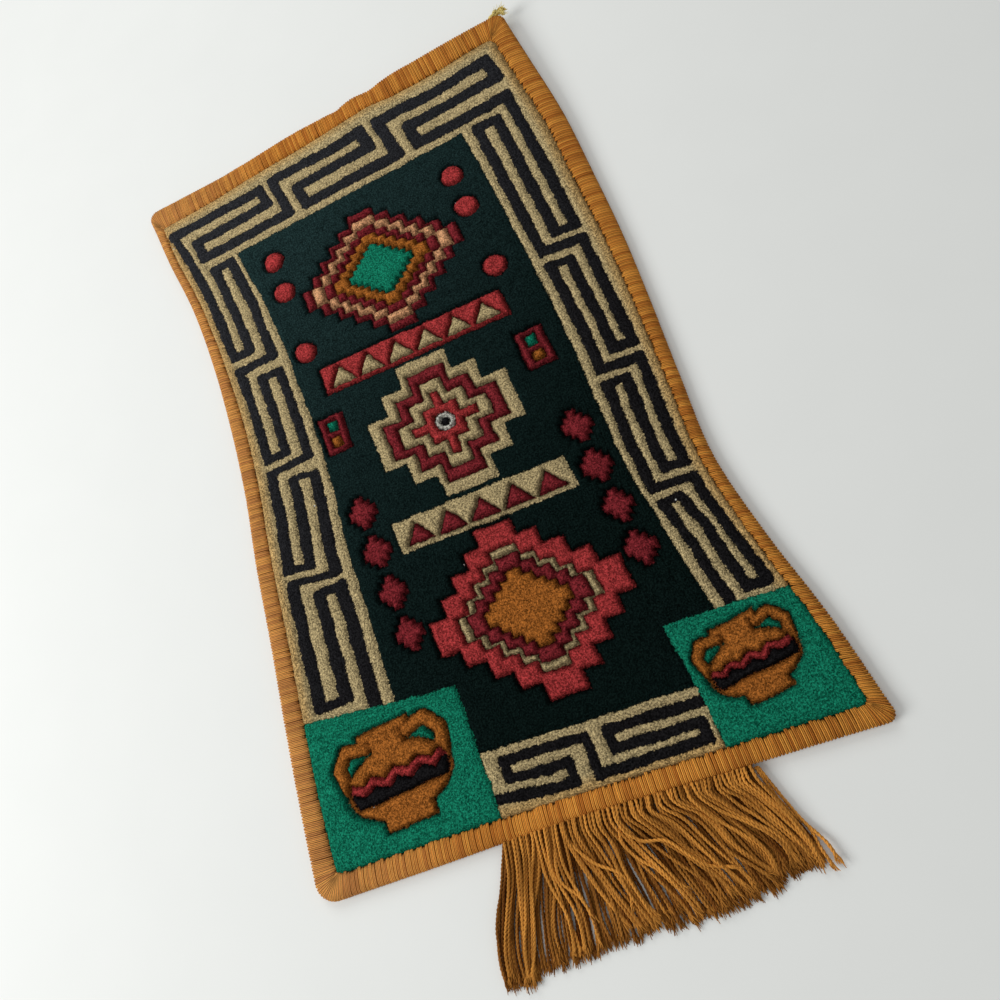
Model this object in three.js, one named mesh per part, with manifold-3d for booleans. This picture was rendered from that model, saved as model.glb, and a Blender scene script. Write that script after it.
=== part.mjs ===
// A small pile tapestry with an overcast edge and a fringe, lying flat on its back.
// Millimetres, +X to the right, +Y towards the top edge, +Z up off the surface that it lies on.
// Four pieces: the pile panel, the binding sewn round it, the fringe and the loose end of the binding yarn.

import * as THREE from 'three';
import Module from 'manifold-3d';
import { mergeVertices } from 'three/addons/utils/BufferGeometryUtils.js';

// ---------------------------------------------------------------- driving sizes

// The cloth as it was set up on the loom: a straight rectangle.
const CLOTH = { width: 270, length: 445 };

// Clear space between two pieces that are sewn together.
const GAP = 0.3;

// Points along each stretch of a loop round the edge.
const STEPS = { end: 16, side: 26, corner: 5 };

// How the finished cloth lies, row by row up its length: where its left and right edges are, how wide
// the binding shows on each of them, and how far the right edge curls up off the surface.
const UP_THE_LENGTH = [
  { y: -228, left: -139.3, right: 145.2, bindLeft: 12.5, bindRight: 6.5, curl: 0.0 },
  { y: -180, left: -136.9, right: 139.3, bindLeft: 11.2, bindRight: 6.0, curl: 0.0 },
  { y: -135, left: -133.7, right: 130.8, bindLeft: 11.2, bindRight: 6.0, curl: 0.0 },
  { y: -90, left: -129.8, right: 125.3, bindLeft: 11.0, bindRight: 6.3, curl: 0.0 },
  { y: -45, left: -126.6, right: 128.2, bindLeft: 10.3, bindRight: 6.8, curl: 0.0 },
  { y: 0, left: -122.0, right: 132.0, bindLeft: 10.0, bindRight: 8.2, curl: 0.0 },
  { y: 45, left: -120.2, right: 135.1, bindLeft: 9.2, bindRight: 9.8, curl: 0.0 },
  { y: 90, left: -120.8, right: 136.1, bindLeft: 7.3, bindRight: 11.2, curl: 0.5 },
  { y: 135, left: -124.6, right: 136.4, bindLeft: 6.0, bindRight: 11.4, curl: 1.5 },
  { y: 180, left: -132.9, right: 133.2, bindLeft: 5.5, bindRight: 12.0, curl: 3.0 },
  { y: 226, left: -139.1, right: 129.5, bindLeft: 5.8, bindRight: 12.0, curl: 4.5 },
];

// The same from the left edge to the right: where the top and bottom edges are, and their binding.
const ACROSS_THE_WIDTH = [
  { x: -135, top: 224.0, bottom: -221.5, bindTop: 17.0, bindBottom: 11.0 },
  { x: -90, top: 222.8, bottom: -222.2, bindTop: 15.7, bindBottom: 10.7 },
  { x: -65, top: 222.9, bottom: -222.5, bindTop: 14.1, bindBottom: 10.3 },
  { x: -35, top: 224.4, bottom: -222.6, bindTop: 14.3, bindBottom: 9.4 },
  { x: -5, top: 225.2, bottom: -223.0, bindTop: 14.1, bindBottom: 8.9 },
  { x: 27, top: 227.2, bottom: -224.4, bindTop: 13.2, bindBottom: 8.8 },
  { x: 48, top: 228.4, bottom: -225.6, bindTop: 15.8, bindBottom: 8.8 },
  { x: 65, top: 229.4, bottom: -226.5, bindTop: 17.0, bindBottom: 8.9 },
  { x: 100, top: 227.1, bottom: -228.2, bindTop: 15.2, bindBottom: 9.0 },
  { x: 135, top: 223.5, bottom: -230.0, bindTop: 14.4, bindBottom: 9.2 },
];

// How far the curl of the right edge reaches into the cloth.
const CURL_REACH = 70;

// Radius of each rounded corner at the outer edge, and of all of them inside the binding.
const CORNER_RADIUS = { bottomLeft: 11, bottomRight: 5, topRight: 5, topLeft: 7.5, inner: 3 };

// Section of the pile panel from the middle of its face round to the middle of its back. share is the
// part of the binding's width that lies outside the loop, inset what is added to it, z the height.
const PANEL_SECTION = [
  { share: 1, inset: 62, z: 6.0 },
  { share: 1, inset: 24, z: 6.0 },
  { share: 1, inset: 2.2, z: 6.0 },
  { share: 1, inset: 0.9, z: 5.6 },
  { share: 1, inset: GAP, z: 4.8 },
  { share: 1, inset: GAP, z: 3.3 },
  { share: 0, inset: 3.0 + GAP, z: 3.3 },
  { share: 0, inset: 3.0 + GAP, z: 1.3 },
  { share: 1, inset: GAP, z: 1.3 },
  { share: 1, inset: 0.9, z: 0 },
  { share: 1, inset: 24, z: 0 },
  { share: 1, inset: 62, z: 0 },
];

// Section of the binding, which wraps round the edge of the base cloth, once round from the bead.
const BINDING_SECTION = [
  { share: 0, inset: 0.0, z: 2.9 },
  { share: 0, inset: 0.4, z: 4.4 },
  { share: 0, inset: 1.5, z: 5.5 },
  { share: 0, inset: 3.2, z: 5.9 },
  { share: 0.65, inset: 0, z: 5.6 },
  { share: 1, inset: 0, z: 4.6 },
  { share: 1, inset: 0, z: 3.3 + GAP },
  { share: 0, inset: 3.0, z: 3.3 + GAP },
  { share: 0, inset: 3.0, z: 1.3 - GAP },
  { share: 1, inset: 0, z: 1.3 - GAP },
  { share: 1, inset: 0, z: 0 },
  { share: 0, inset: 2.2, z: 0 },
  { share: 0, inset: 0.6, z: 1.1 },
];

// The fringe, from its left end to its right: where a strand leaves the edge, where it passes half way
// down and where it ends across the width, and how far it reaches past the edge.
const FRINGE = [
  { root: -40.0, knee: -55.0, tip: -61.0, reach: 60 },
  { root: -18.0, knee: -25.0, tip: -31.0, reach: 58 },
  { root: 2.0, knee: 2.0, tip: 2.5, reach: 57 },
  { root: 22.0, knee: 26.0, tip: 32.0, reach: 58 },
  { root: 42.0, knee: 51.0, tip: 59.0, reach: 56 },
  { root: 62.0, knee: 70.0, tip: 80.0, reach: 51 },
  { root: 80.0, knee: 88.5, tip: 98.0, reach: 47 },
];

// The comb that the fringe makes: its locks, the band that joins them under the binding, and their
// height over the surface at the band and at the tip. A lock is trimmed by one of the trims in turn.
const COMB = {
  locks: 26,
  fill: 0.88,
  band: 3.5,
  rootHeight: 4.4,
  tipHeight: 2.4,
  trims: [0, 2.0, 0.6, 2.8, 1.2],
};

// Distance down a lock, as a share of its reach, of each of its sections.
const LOCK_SECTIONS = [0, 0.18, 0.36, 0.54, 0.72, 0.88, 1];

// The outline of a lock's section: share of its width, share of its height.
const LOCK_PROFILE = [
  { across: 0, up: 0 },
  { across: 0.12, up: 0.7 },
  { across: 0.5, up: 1 },
  { across: 0.88, up: 0.7 },
  { across: 1, up: 0 },
];

// The loose end of the binding yarn at the top right corner: its path past the corner of the cloth and
// its radius at each point of it. x and y are from the corner of the straight cloth.
const YARN_TAIL = [
  { x: -5.5, y: 2.0, z: 6.6, radius: 1.4 },
  { x: -1.5, y: 1.9, z: 7.4, radius: 1.8 },
  { x: 1.8, y: 0.3, z: 7.8, radius: 1.7 },
  { x: 3.4, y: -1.7, z: 7.4, radius: 1.4 },
  { x: 4.2, y: -3.8, z: 6.6, radius: 0.8 },
];

// Rings along the loose end and points round each of them.
const YARN_TAIL_STEPS = { rings: 10, sides: 8 };

// ---------------------------------------------------------------- finishes

const FINISHES = {
  pile: { color: 0x25302a, roughness: 0.95, metalness: 0 },
  bindingYarn: { color: 0xb5701f, roughness: 0.85, metalness: 0 },
  fringeYarn: { color: 0xa86a20, roughness: 0.85, metalness: 0 },
  tailYarn: { color: 0xc4902e, roughness: 0.85, metalness: 0 },
};

// ---------------------------------------------------------------- where the cloth lies

const { lerp, smoothstep, clamp } = THREE.MathUtils;

// The value of a table's column between its rows, on a smooth line through them.
function between(table, key, column, at) {
  const last = table.length - 1;
  const where = clamp(at, table[0][key], table[last][key]);
  const above = Math.max(1, table.findIndex((row) => row[key] >= where));
  const slopeAt = (index) => {
    const before = table[Math.max(index - 1, 0)];
    const after = table[Math.min(index + 1, last)];
    return (after[column] - before[column]) / (after[key] - before[key]);
  };
  const low = table[above - 1];
  const high = table[above];
  const span = high[key] - low[key];
  const t = (where - low[key]) / span;
  const rise = high[column] - low[column];
  const bendLow = slopeAt(above - 1) * span - rise;
  const bendHigh = slopeAt(above) * span - rise;
  return low[column] + t * rise + t * (1 - t) * ((1 - t) * bendLow - t * bendHigh);
}

// Takes a point of the straight cloth to its place on the cloth as it lies.
function lie(x, y, z) {
  const bottom = between(ACROSS_THE_WIDTH, 'x', 'bottom', x);
  const top = between(ACROSS_THE_WIDTH, 'x', 'top', x);
  const upThere = lerp(bottom, top, y / CLOTH.length + 0.5);
  const left = between(UP_THE_LENGTH, 'y', 'left', upThere);
  const right = between(UP_THE_LENGTH, 'y', 'right', upThere);
  const edge = CLOTH.width / 2;
  const lift = Math.max(0, between(UP_THE_LENGTH, 'y', 'curl', upThere));
  const curl = lift * smoothstep(x, edge - CURL_REACH, edge);
  return new THREE.Vector3(lerp(left, right, x / CLOTH.width + 0.5), upThere, z + curl);
}

// A closed loop round the cloth, anticlockwise from the bottom left, in from its edge by the share of
// the binding's width and the inset.
function edgeLoop({ share, inset, z }) {
  const halfWidth = CLOTH.width / 2;
  const halfLength = CLOTH.length / 2;
  const leftAt = (y) => -halfWidth + share * between(UP_THE_LENGTH, 'y', 'bindLeft', y) + inset;
  const rightAt = (y) => halfWidth - share * between(UP_THE_LENGTH, 'y', 'bindRight', y) - inset;
  const bottomAt = (x) => -halfLength + share * between(ACROSS_THE_WIDTH, 'x', 'bindBottom', x) + inset;
  const topAt = (x) => halfLength - share * between(ACROSS_THE_WIDTH, 'x', 'bindTop', x) - inset;
  const depth = clamp(share + inset / 10, 0, 1);
  const radiusOf = (corner) => lerp(CORNER_RADIUS[corner], CORNER_RADIUS.inner, depth);

  const corners = [
    { name: 'bottomLeft', x: leftAt(-halfLength), y: bottomAt(-halfWidth), right: 1, up: 1, turns: 0.5 },
    { name: 'bottomRight', x: rightAt(-halfLength), y: bottomAt(halfWidth), right: -1, up: 1, turns: 0.75 },
    { name: 'topRight', x: rightAt(halfLength), y: topAt(halfWidth), right: -1, up: -1, turns: 0 },
    { name: 'topLeft', x: leftAt(halfLength), y: topAt(-halfWidth), right: 1, up: -1, turns: 0.25 },
  ];
  const arcs = corners.map((corner) => {
    const radius = radiusOf(corner.name);
    const points = [];
    for (let step = 0; step <= STEPS.corner; step += 1) {
      const angle = (corner.turns + step / STEPS.corner / 4) * 2 * Math.PI;
      points.push({
        x: corner.x + corner.right * radius + radius * Math.cos(angle),
        y: corner.y + corner.up * radius + radius * Math.sin(angle),
      });
    }
    return points;
  });
  const stretch = (from, to, steps, place) => {
    const points = [];
    for (let step = 1; step < steps; step += 1) {
      points.push(place(step / steps, from, to));
    }
    return points;
  };
  const alongX = (edgeAt) => (t, from, to) => {
    const x = lerp(from.x, to.x, t);
    return { x, y: edgeAt(x) };
  };
  const alongY = (edgeAt) => (t, from, to) => {
    const y = lerp(from.y, to.y, t);
    return { x: edgeAt(y), y };
  };
  const sides = [
    { steps: STEPS.end, place: alongX(bottomAt) },
    { steps: STEPS.side, place: alongY(rightAt) },
    { steps: STEPS.end, place: alongX(topAt) },
    { steps: STEPS.side, place: alongY(leftAt) },
  ];
  const flat = sides.flatMap((side, index) => {
    const arc = arcs[index];
    const next = arcs[(index + 1) % arcs.length];
    return [...arc, ...stretch(arc[arc.length - 1], next[0], side.steps, side.place)];
  });
  return flat.map((point) => lie(point.x, point.y, z));
}

// ---------------------------------------------------------------- meshes

// Closed geometry from corners and the triangles between them, turned to face outwards.
function closedGeometry(corners, triangles) {
  const volume = triangles.reduce((sum, [a, b, c]) => {
    const normal = new THREE.Vector3().crossVectors(corners[b], corners[c]);
    return sum + corners[a].dot(normal);
  }, 0);
  const outward = volume > 0 ? triangles : triangles.map(([a, b, c]) => [a, c, b]);
  const positions = corners.flatMap((corner) => corner.toArray());
  const geometry = new THREE.BufferGeometry();
  geometry.setAttribute('position', new THREE.Float32BufferAttribute(positions, 3));
  geometry.setIndex(outward.flat());
  return geometry;
}

// A skin over loops that all have the same number of points. A ring joins the last loop to the first,
// and anything else is closed at both ends, to the middle of its first and of its last loop.
function loft(loops, isRing) {
  const count = loops[0].length;
  const corners = loops.flat();
  const triangles = [];
  const bands = isRing ? loops.length : loops.length - 1;
  for (let band = 0; band < bands; band += 1) {
    const here = band * count;
    const there = ((band + 1) % loops.length) * count;
    for (let step = 0; step < count; step += 1) {
      const next = (step + 1) % count;
      triangles.push([here + step, here + next, there + next]);
      triangles.push([here + step, there + next, there + step]);
    }
  }
  if (!isRing) {
    const close = (loopIndex, flip) => {
      const middle = new THREE.Vector3();
      loops[loopIndex].forEach((point) => middle.add(point));
      const hub = corners.push(middle.divideScalar(count)) - 1;
      for (let step = 0; step < count; step += 1) {
        const a = loopIndex * count + step;
        const b = loopIndex * count + ((step + 1) % count);
        triangles.push(flip ? [hub, a, b] : [hub, b, a]);
      }
    };
    close(0, false);
    close(loops.length - 1, true);
  }
  return closedGeometry(corners, triangles);
}

const wasm = await Module();
wasm.setup();

// Joins closed geometries that overlap into one body.
function joined(geometries) {
  const solids = geometries.map((geometry) => {
    const merged = mergeVertices(geometry);
    return new wasm.Manifold(new wasm.Mesh({
      numProp: 3,
      vertProperties: merged.attributes.position.array,
      triVerts: Uint32Array.from(merged.index.array),
    }));
  });
  const mesh = solids.reduce((body, solid) => body.add(solid)).getMesh();
  const geometry = new THREE.BufferGeometry();
  geometry.setAttribute('position', new THREE.Float32BufferAttribute(mesh.vertProperties, 3));
  geometry.setIndex(Array.from(mesh.triVerts));
  return geometry;
}

// ---------------------------------------------------------------- the pieces

// The woven base cloth with its dense cut pile: one thick mat whose thin edge runs into the binding.
function pilePanel() {
  return loft(PANEL_SECTION.map(edgeLoop), false);
}

// The overcast yarn round the edge of the base cloth, over, round and under it.
function edgeBinding() {
  return loft(BINDING_SECTION.map(edgeLoop), true);
}

// A point of the fringe: share across it from left to right, share down its reach, height, less the trim.
function fringePoint(across, down, z, trim) {
  const rows = FRINGE.map((row, index) => ({ ...row, across: index / (FRINGE.length - 1) }));
  const read = (column) => between(rows, 'across', column, across);
  const root = read('root');
  const bow = read('knee') - (root + read('tip')) / 2;
  const x = lerp(root, read('tip'), down) + 4 * down * (1 - down) * bow;
  const out = GAP + down * (read('reach') - trim - GAP);
  const edge = between(ACROSS_THE_WIDTH, 'x', 'bottom', root);
  return new THREE.Vector3(x, edge - out, z);
}

// One lock of the fringe, flat where it lies and crowned above.
function fringeLock(index) {
  const trim = COMB.trims[index % COMB.trims.length];
  const margin = (1 - COMB.fill) / 2;
  const low = (index + margin) / COMB.locks;
  const high = (index + 1 - margin) / COMB.locks;
  const sections = LOCK_SECTIONS.map((down) => {
    const height = lerp(COMB.rootHeight, COMB.tipHeight, down);
    return LOCK_PROFILE.map((corner) => {
      const across = lerp(low, high, corner.across);
      return fringePoint(across, down, corner.up * height, trim);
    });
  });
  return loft(sections, false);
}

// The band along the edge, under the overhang of the binding, from which every lock hangs.
function fringeBand() {
  const sections = [];
  const margin = (1 - COMB.fill) / 2 / COMB.locks;
  for (let step = 0; step <= COMB.locks; step += 1) {
    const across = lerp(margin, 1 - margin, step / COMB.locks);
    const depth = COMB.band / between(FRINGE, 'root', 'reach', fringePoint(across, 0, 0, 0).x);
    sections.push([
      fringePoint(across, 0, 0, 0),
      fringePoint(across, 0, COMB.rootHeight * 0.75, 0),
      fringePoint(across, depth * 0.4, COMB.rootHeight * 0.96, 0),
      fringePoint(across, depth, COMB.rootHeight * 0.7, 0),
      fringePoint(across, depth, 0, 0),
    ]);
  }
  return loft(sections, false);
}

function fringeComb() {
  const locks = Array.from({ length: COMB.locks }, (_, index) => fringeLock(index));
  return joined([fringeBand(), ...locks]);
}

// The free end of the yarn, a short tapered twist that leans over the corner.
function yarnTail() {
  const corner = lie(CLOTH.width / 2, CLOTH.length / 2, 0);
  const path = new THREE.CatmullRomCurve3(
    YARN_TAIL.map((row) => new THREE.Vector3(corner.x + row.x, corner.y + row.y, row.z)),
  );
  const rings = [];
  for (let step = 0; step <= YARN_TAIL_STEPS.rings; step += 1) {
    const t = step / YARN_TAIL_STEPS.rings;
    const centre = path.getPoint(t);
    const heading = path.getTangent(t);
    const sideways = new THREE.Vector3(0, 0, 1).cross(heading).normalize();
    const upwards = new THREE.Vector3().crossVectors(heading, sideways);
    const place = t * (YARN_TAIL.length - 1);
    const row = Math.min(Math.floor(place), YARN_TAIL.length - 2);
    const radius = lerp(YARN_TAIL[row].radius, YARN_TAIL[row + 1].radius, place - row);
    const ring = [];
    for (let side = 0; side < YARN_TAIL_STEPS.sides; side += 1) {
      const angle = (side / YARN_TAIL_STEPS.sides) * 2 * Math.PI;
      ring.push(centre.clone()
        .addScaledVector(sideways, radius * Math.cos(angle))
        .addScaledVector(upwards, radius * Math.sin(angle)));
    }
    rings.push(ring);
  }
  return loft(rings, false);
}

// ---------------------------------------------------------------- the tapestry

const PIECES = [
  { name: 'pile_panel', geometry: pilePanel(), finish: FINISHES.pile },
  { name: 'edge_binding', geometry: edgeBinding(), finish: FINISHES.bindingYarn },
  { name: 'fringe_comb', geometry: fringeComb(), finish: FINISHES.fringeYarn },
  { name: 'yarn_tail', geometry: yarnTail(), finish: FINISHES.tailYarn },
];

const tapestry = new THREE.Group();
PIECES.forEach(({ name, geometry, finish }) => {
  geometry.computeVertexNormals();
  const mesh = new THREE.Mesh(geometry, new THREE.MeshStandardMaterial(finish));
  mesh.name = name;
  tapestry.add(mesh);
});

// The origin is the middle of the whole outline, on the surface that it lies on.
const middle = new THREE.Box3().setFromObject(tapestry).getCenter(new THREE.Vector3());
tapestry.children.forEach((mesh) => mesh.position.set(-middle.x, -middle.y, 0));

export default tapestry;
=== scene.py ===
"""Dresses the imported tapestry: a cut pile cloth with a key border, an overcast edge and a fringe.

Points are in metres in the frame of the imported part, which lies on its back with +Z up. The tables of how
the cloth lies are in millimetres from the middle of the cloth, as in the part's own source, and Lay takes
them into the frame.
"""

import logging
import math
from dataclasses import dataclass, fields
from enum import Enum

import bpy
import numpy as np
from mathutils import Matrix, Vector

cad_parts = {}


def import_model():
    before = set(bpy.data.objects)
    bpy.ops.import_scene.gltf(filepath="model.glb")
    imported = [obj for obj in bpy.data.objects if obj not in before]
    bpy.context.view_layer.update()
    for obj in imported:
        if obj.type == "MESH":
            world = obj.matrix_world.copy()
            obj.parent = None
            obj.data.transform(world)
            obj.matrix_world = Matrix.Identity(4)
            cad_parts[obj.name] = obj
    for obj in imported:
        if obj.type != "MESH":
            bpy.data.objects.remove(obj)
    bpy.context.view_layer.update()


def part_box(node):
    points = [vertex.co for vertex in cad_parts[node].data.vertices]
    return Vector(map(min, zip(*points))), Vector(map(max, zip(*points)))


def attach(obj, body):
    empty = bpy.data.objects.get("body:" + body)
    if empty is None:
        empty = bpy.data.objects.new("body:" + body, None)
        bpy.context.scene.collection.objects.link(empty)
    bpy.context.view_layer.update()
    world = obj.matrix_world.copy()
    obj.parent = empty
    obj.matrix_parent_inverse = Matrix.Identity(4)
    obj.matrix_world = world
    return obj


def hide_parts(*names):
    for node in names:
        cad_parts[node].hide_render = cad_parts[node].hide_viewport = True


MM = 0.001
LOG = logging.getLogger("tapestry")


# ---------------------------------------------------------------- how the cloth lies


@dataclass(frozen=True)
class LengthRow:
    """Where the side edges lie at one height of the cloth, and the binding's width on them, in mm."""

    y: float
    left: float
    right: float
    bind_left: float
    bind_right: float
    curl: float


@dataclass(frozen=True)
class EndRow:
    """Where the top or the bottom edge lies at one place across the cloth, and its binding, in mm."""

    x: float
    edge: float
    binding: float


@dataclass(frozen=True)
class FringeRow:
    """The run of a strand at one place of the fringe, from its root to its tip, in mm."""

    root: float
    knee: float
    tip: float
    reach: float


UP_THE_LENGTH = (
    LengthRow(-228, -139.3, 145.2, 12.5, 6.5, 0.0),
    LengthRow(-180, -136.9, 139.3, 11.2, 6.0, 0.0),
    LengthRow(-135, -133.7, 130.8, 11.2, 6.0, 0.0),
    LengthRow(-90, -129.8, 125.3, 11.0, 6.3, 0.0),
    LengthRow(-45, -126.6, 128.2, 10.3, 6.8, 0.0),
    LengthRow(0, -122.0, 132.0, 10.0, 8.2, 0.0),
    LengthRow(45, -120.2, 135.1, 9.2, 9.8, 0.0),
    LengthRow(90, -120.8, 136.1, 7.3, 11.2, 0.5),
    LengthRow(135, -124.6, 136.4, 6.0, 11.4, 1.5),
    LengthRow(180, -132.9, 133.2, 5.5, 12.0, 3.0),
    LengthRow(226, -139.1, 129.5, 5.8, 12.0, 4.5),
)

ALONG_THE_TOP = (
    EndRow(-135, 224.0, 17.2),
    EndRow(-115, 223.3, 16.5),
    EndRow(-90, 222.6, 15.5),
    EndRow(-77, 222.3, 14.4),
    EndRow(-65, 222.8, 13.9),
    EndRow(-52, 223.3, 13.8),
    EndRow(-40, 224.2, 14.2),
    EndRow(-27, 225.0, 14.6),
    EndRow(-15, 225.3, 14.5),
    EndRow(-5, 225.1, 13.8),
    EndRow(7, 224.8, 12.6),
    EndRow(14, 224.3, 11.5),
    EndRow(20, 226.1, 12.8),
    EndRow(27, 227.3, 13.4),
    EndRow(33, 226.7, 12.5),
    EndRow(40, 226.2, 12.6),
    EndRow(48, 228.0, 15.4),
    EndRow(60, 229.3, 16.9),
    EndRow(85, 228.6, 16.6),
    EndRow(110, 226.1, 15.0),
    EndRow(135, 223.4, 14.8),
)

ALONG_THE_BOTTOM = (
    EndRow(-135, -221.5, 11.0),
    EndRow(-90, -222.2, 10.9),
    EndRow(-65, -222.5, 10.6),
    EndRow(-35, -222.6, 9.8),
    EndRow(-5, -223.0, 8.8),
    EndRow(35, -224.8, 9.0),
    EndRow(65, -226.5, 9.1),
    EndRow(100, -228.2, 9.2),
    EndRow(135, -230.0, 9.2),
)

FRINGE_ROWS = (
    FringeRow(-40.0, -55.0, -61.0, 58),
    FringeRow(-18.0, -25.0, -31.0, 55),
    FringeRow(2.0, 2.0, 2.5, 53),
    FringeRow(22.0, 26.0, 32.0, 53),
    FringeRow(42.0, 51.0, 58.0, 50),
    FringeRow(62.0, 70.0, 77.0, 46),
    FringeRow(80.0, 86.5, 92.0, 43),
)


class Column:
    """A size that changes along the cloth: a smooth line through its rows, level past both ends."""

    def __init__(self, at: list[float], values: list[float]) -> None:
        """Sorts the rows and works out the slope at each of them.

        Args:
            at: Place of each row along the cloth.
            values: The size at each row.
        """
        order = np.argsort(at)
        self.at = np.array(at, float)[order]
        self.values = np.array(values, float)[order]
        index = np.arange(len(at))
        low = np.maximum(index - 1, 0)
        high = np.minimum(index + 1, len(at) - 1)
        self.slopes = (self.values[high] - self.values[low]) / (self.at[high] - self.at[low])

    def __call__(self, where: np.ndarray | float) -> np.ndarray:
        """The size at any place.

        Args:
            where: Places along the cloth.

        Returns:
            The size at each of them.
        """
        where = np.clip(where, self.at[0], self.at[-1])
        above = np.clip(np.searchsorted(self.at, where), 1, len(self.at) - 1)
        below = above - 1
        span = self.at[above] - self.at[below]
        rise = self.values[above] - self.values[below]
        t = (where - self.at[below]) / span
        bend_low = self.slopes[below] * span - rise
        bend_high = self.slopes[above] * span - rise
        return self.values[below] + t * rise + t * (1 - t) * ((1 - t) * bend_low - t * bend_high)


def columns_of(rows: tuple, key: str) -> dict[str, Column]:
    """Makes a column of each field of a table.

    Args:
        rows: The table's rows, all of one dataclass.
        key: The field that the others change along.

    Returns:
        A column for each other field, by its name.
    """
    at = [getattr(row, key) for row in rows]
    names = [field.name for field in fields(rows[0]) if field.name != key]
    return {name: Column(at, [getattr(row, name) for row in rows]) for name in names}


def blend(low: np.ndarray | float, high: np.ndarray | float, t: np.ndarray | float) -> np.ndarray:
    """The value a share t of the way from low to high."""
    return low + (high - low) * t


def soft_step(value: np.ndarray, low: float, high: float) -> np.ndarray:
    """0 below low, 1 above high and a smooth rise between them."""
    t = np.clip((value - low) / (high - low), 0, 1)
    return t * t * (3 - 2 * t)


def soft_clamp(value: np.ndarray, low: np.ndarray, high: np.ndarray, ease: float) -> np.ndarray:
    """Keeps values between low and high, with a bend of about the size ease at each."""
    past_low = ease * np.logaddexp(0, (value - low) / ease)
    past_high = ease * np.logaddexp(0, (value - high) / ease)
    return low + past_low - past_high


@dataclass(frozen=True)
class Corner:
    """One rounded corner of the cloth: which edges meet there and where its arc starts, in turns."""

    side_x: int
    side_y: int
    radius: float
    turns: float


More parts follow.
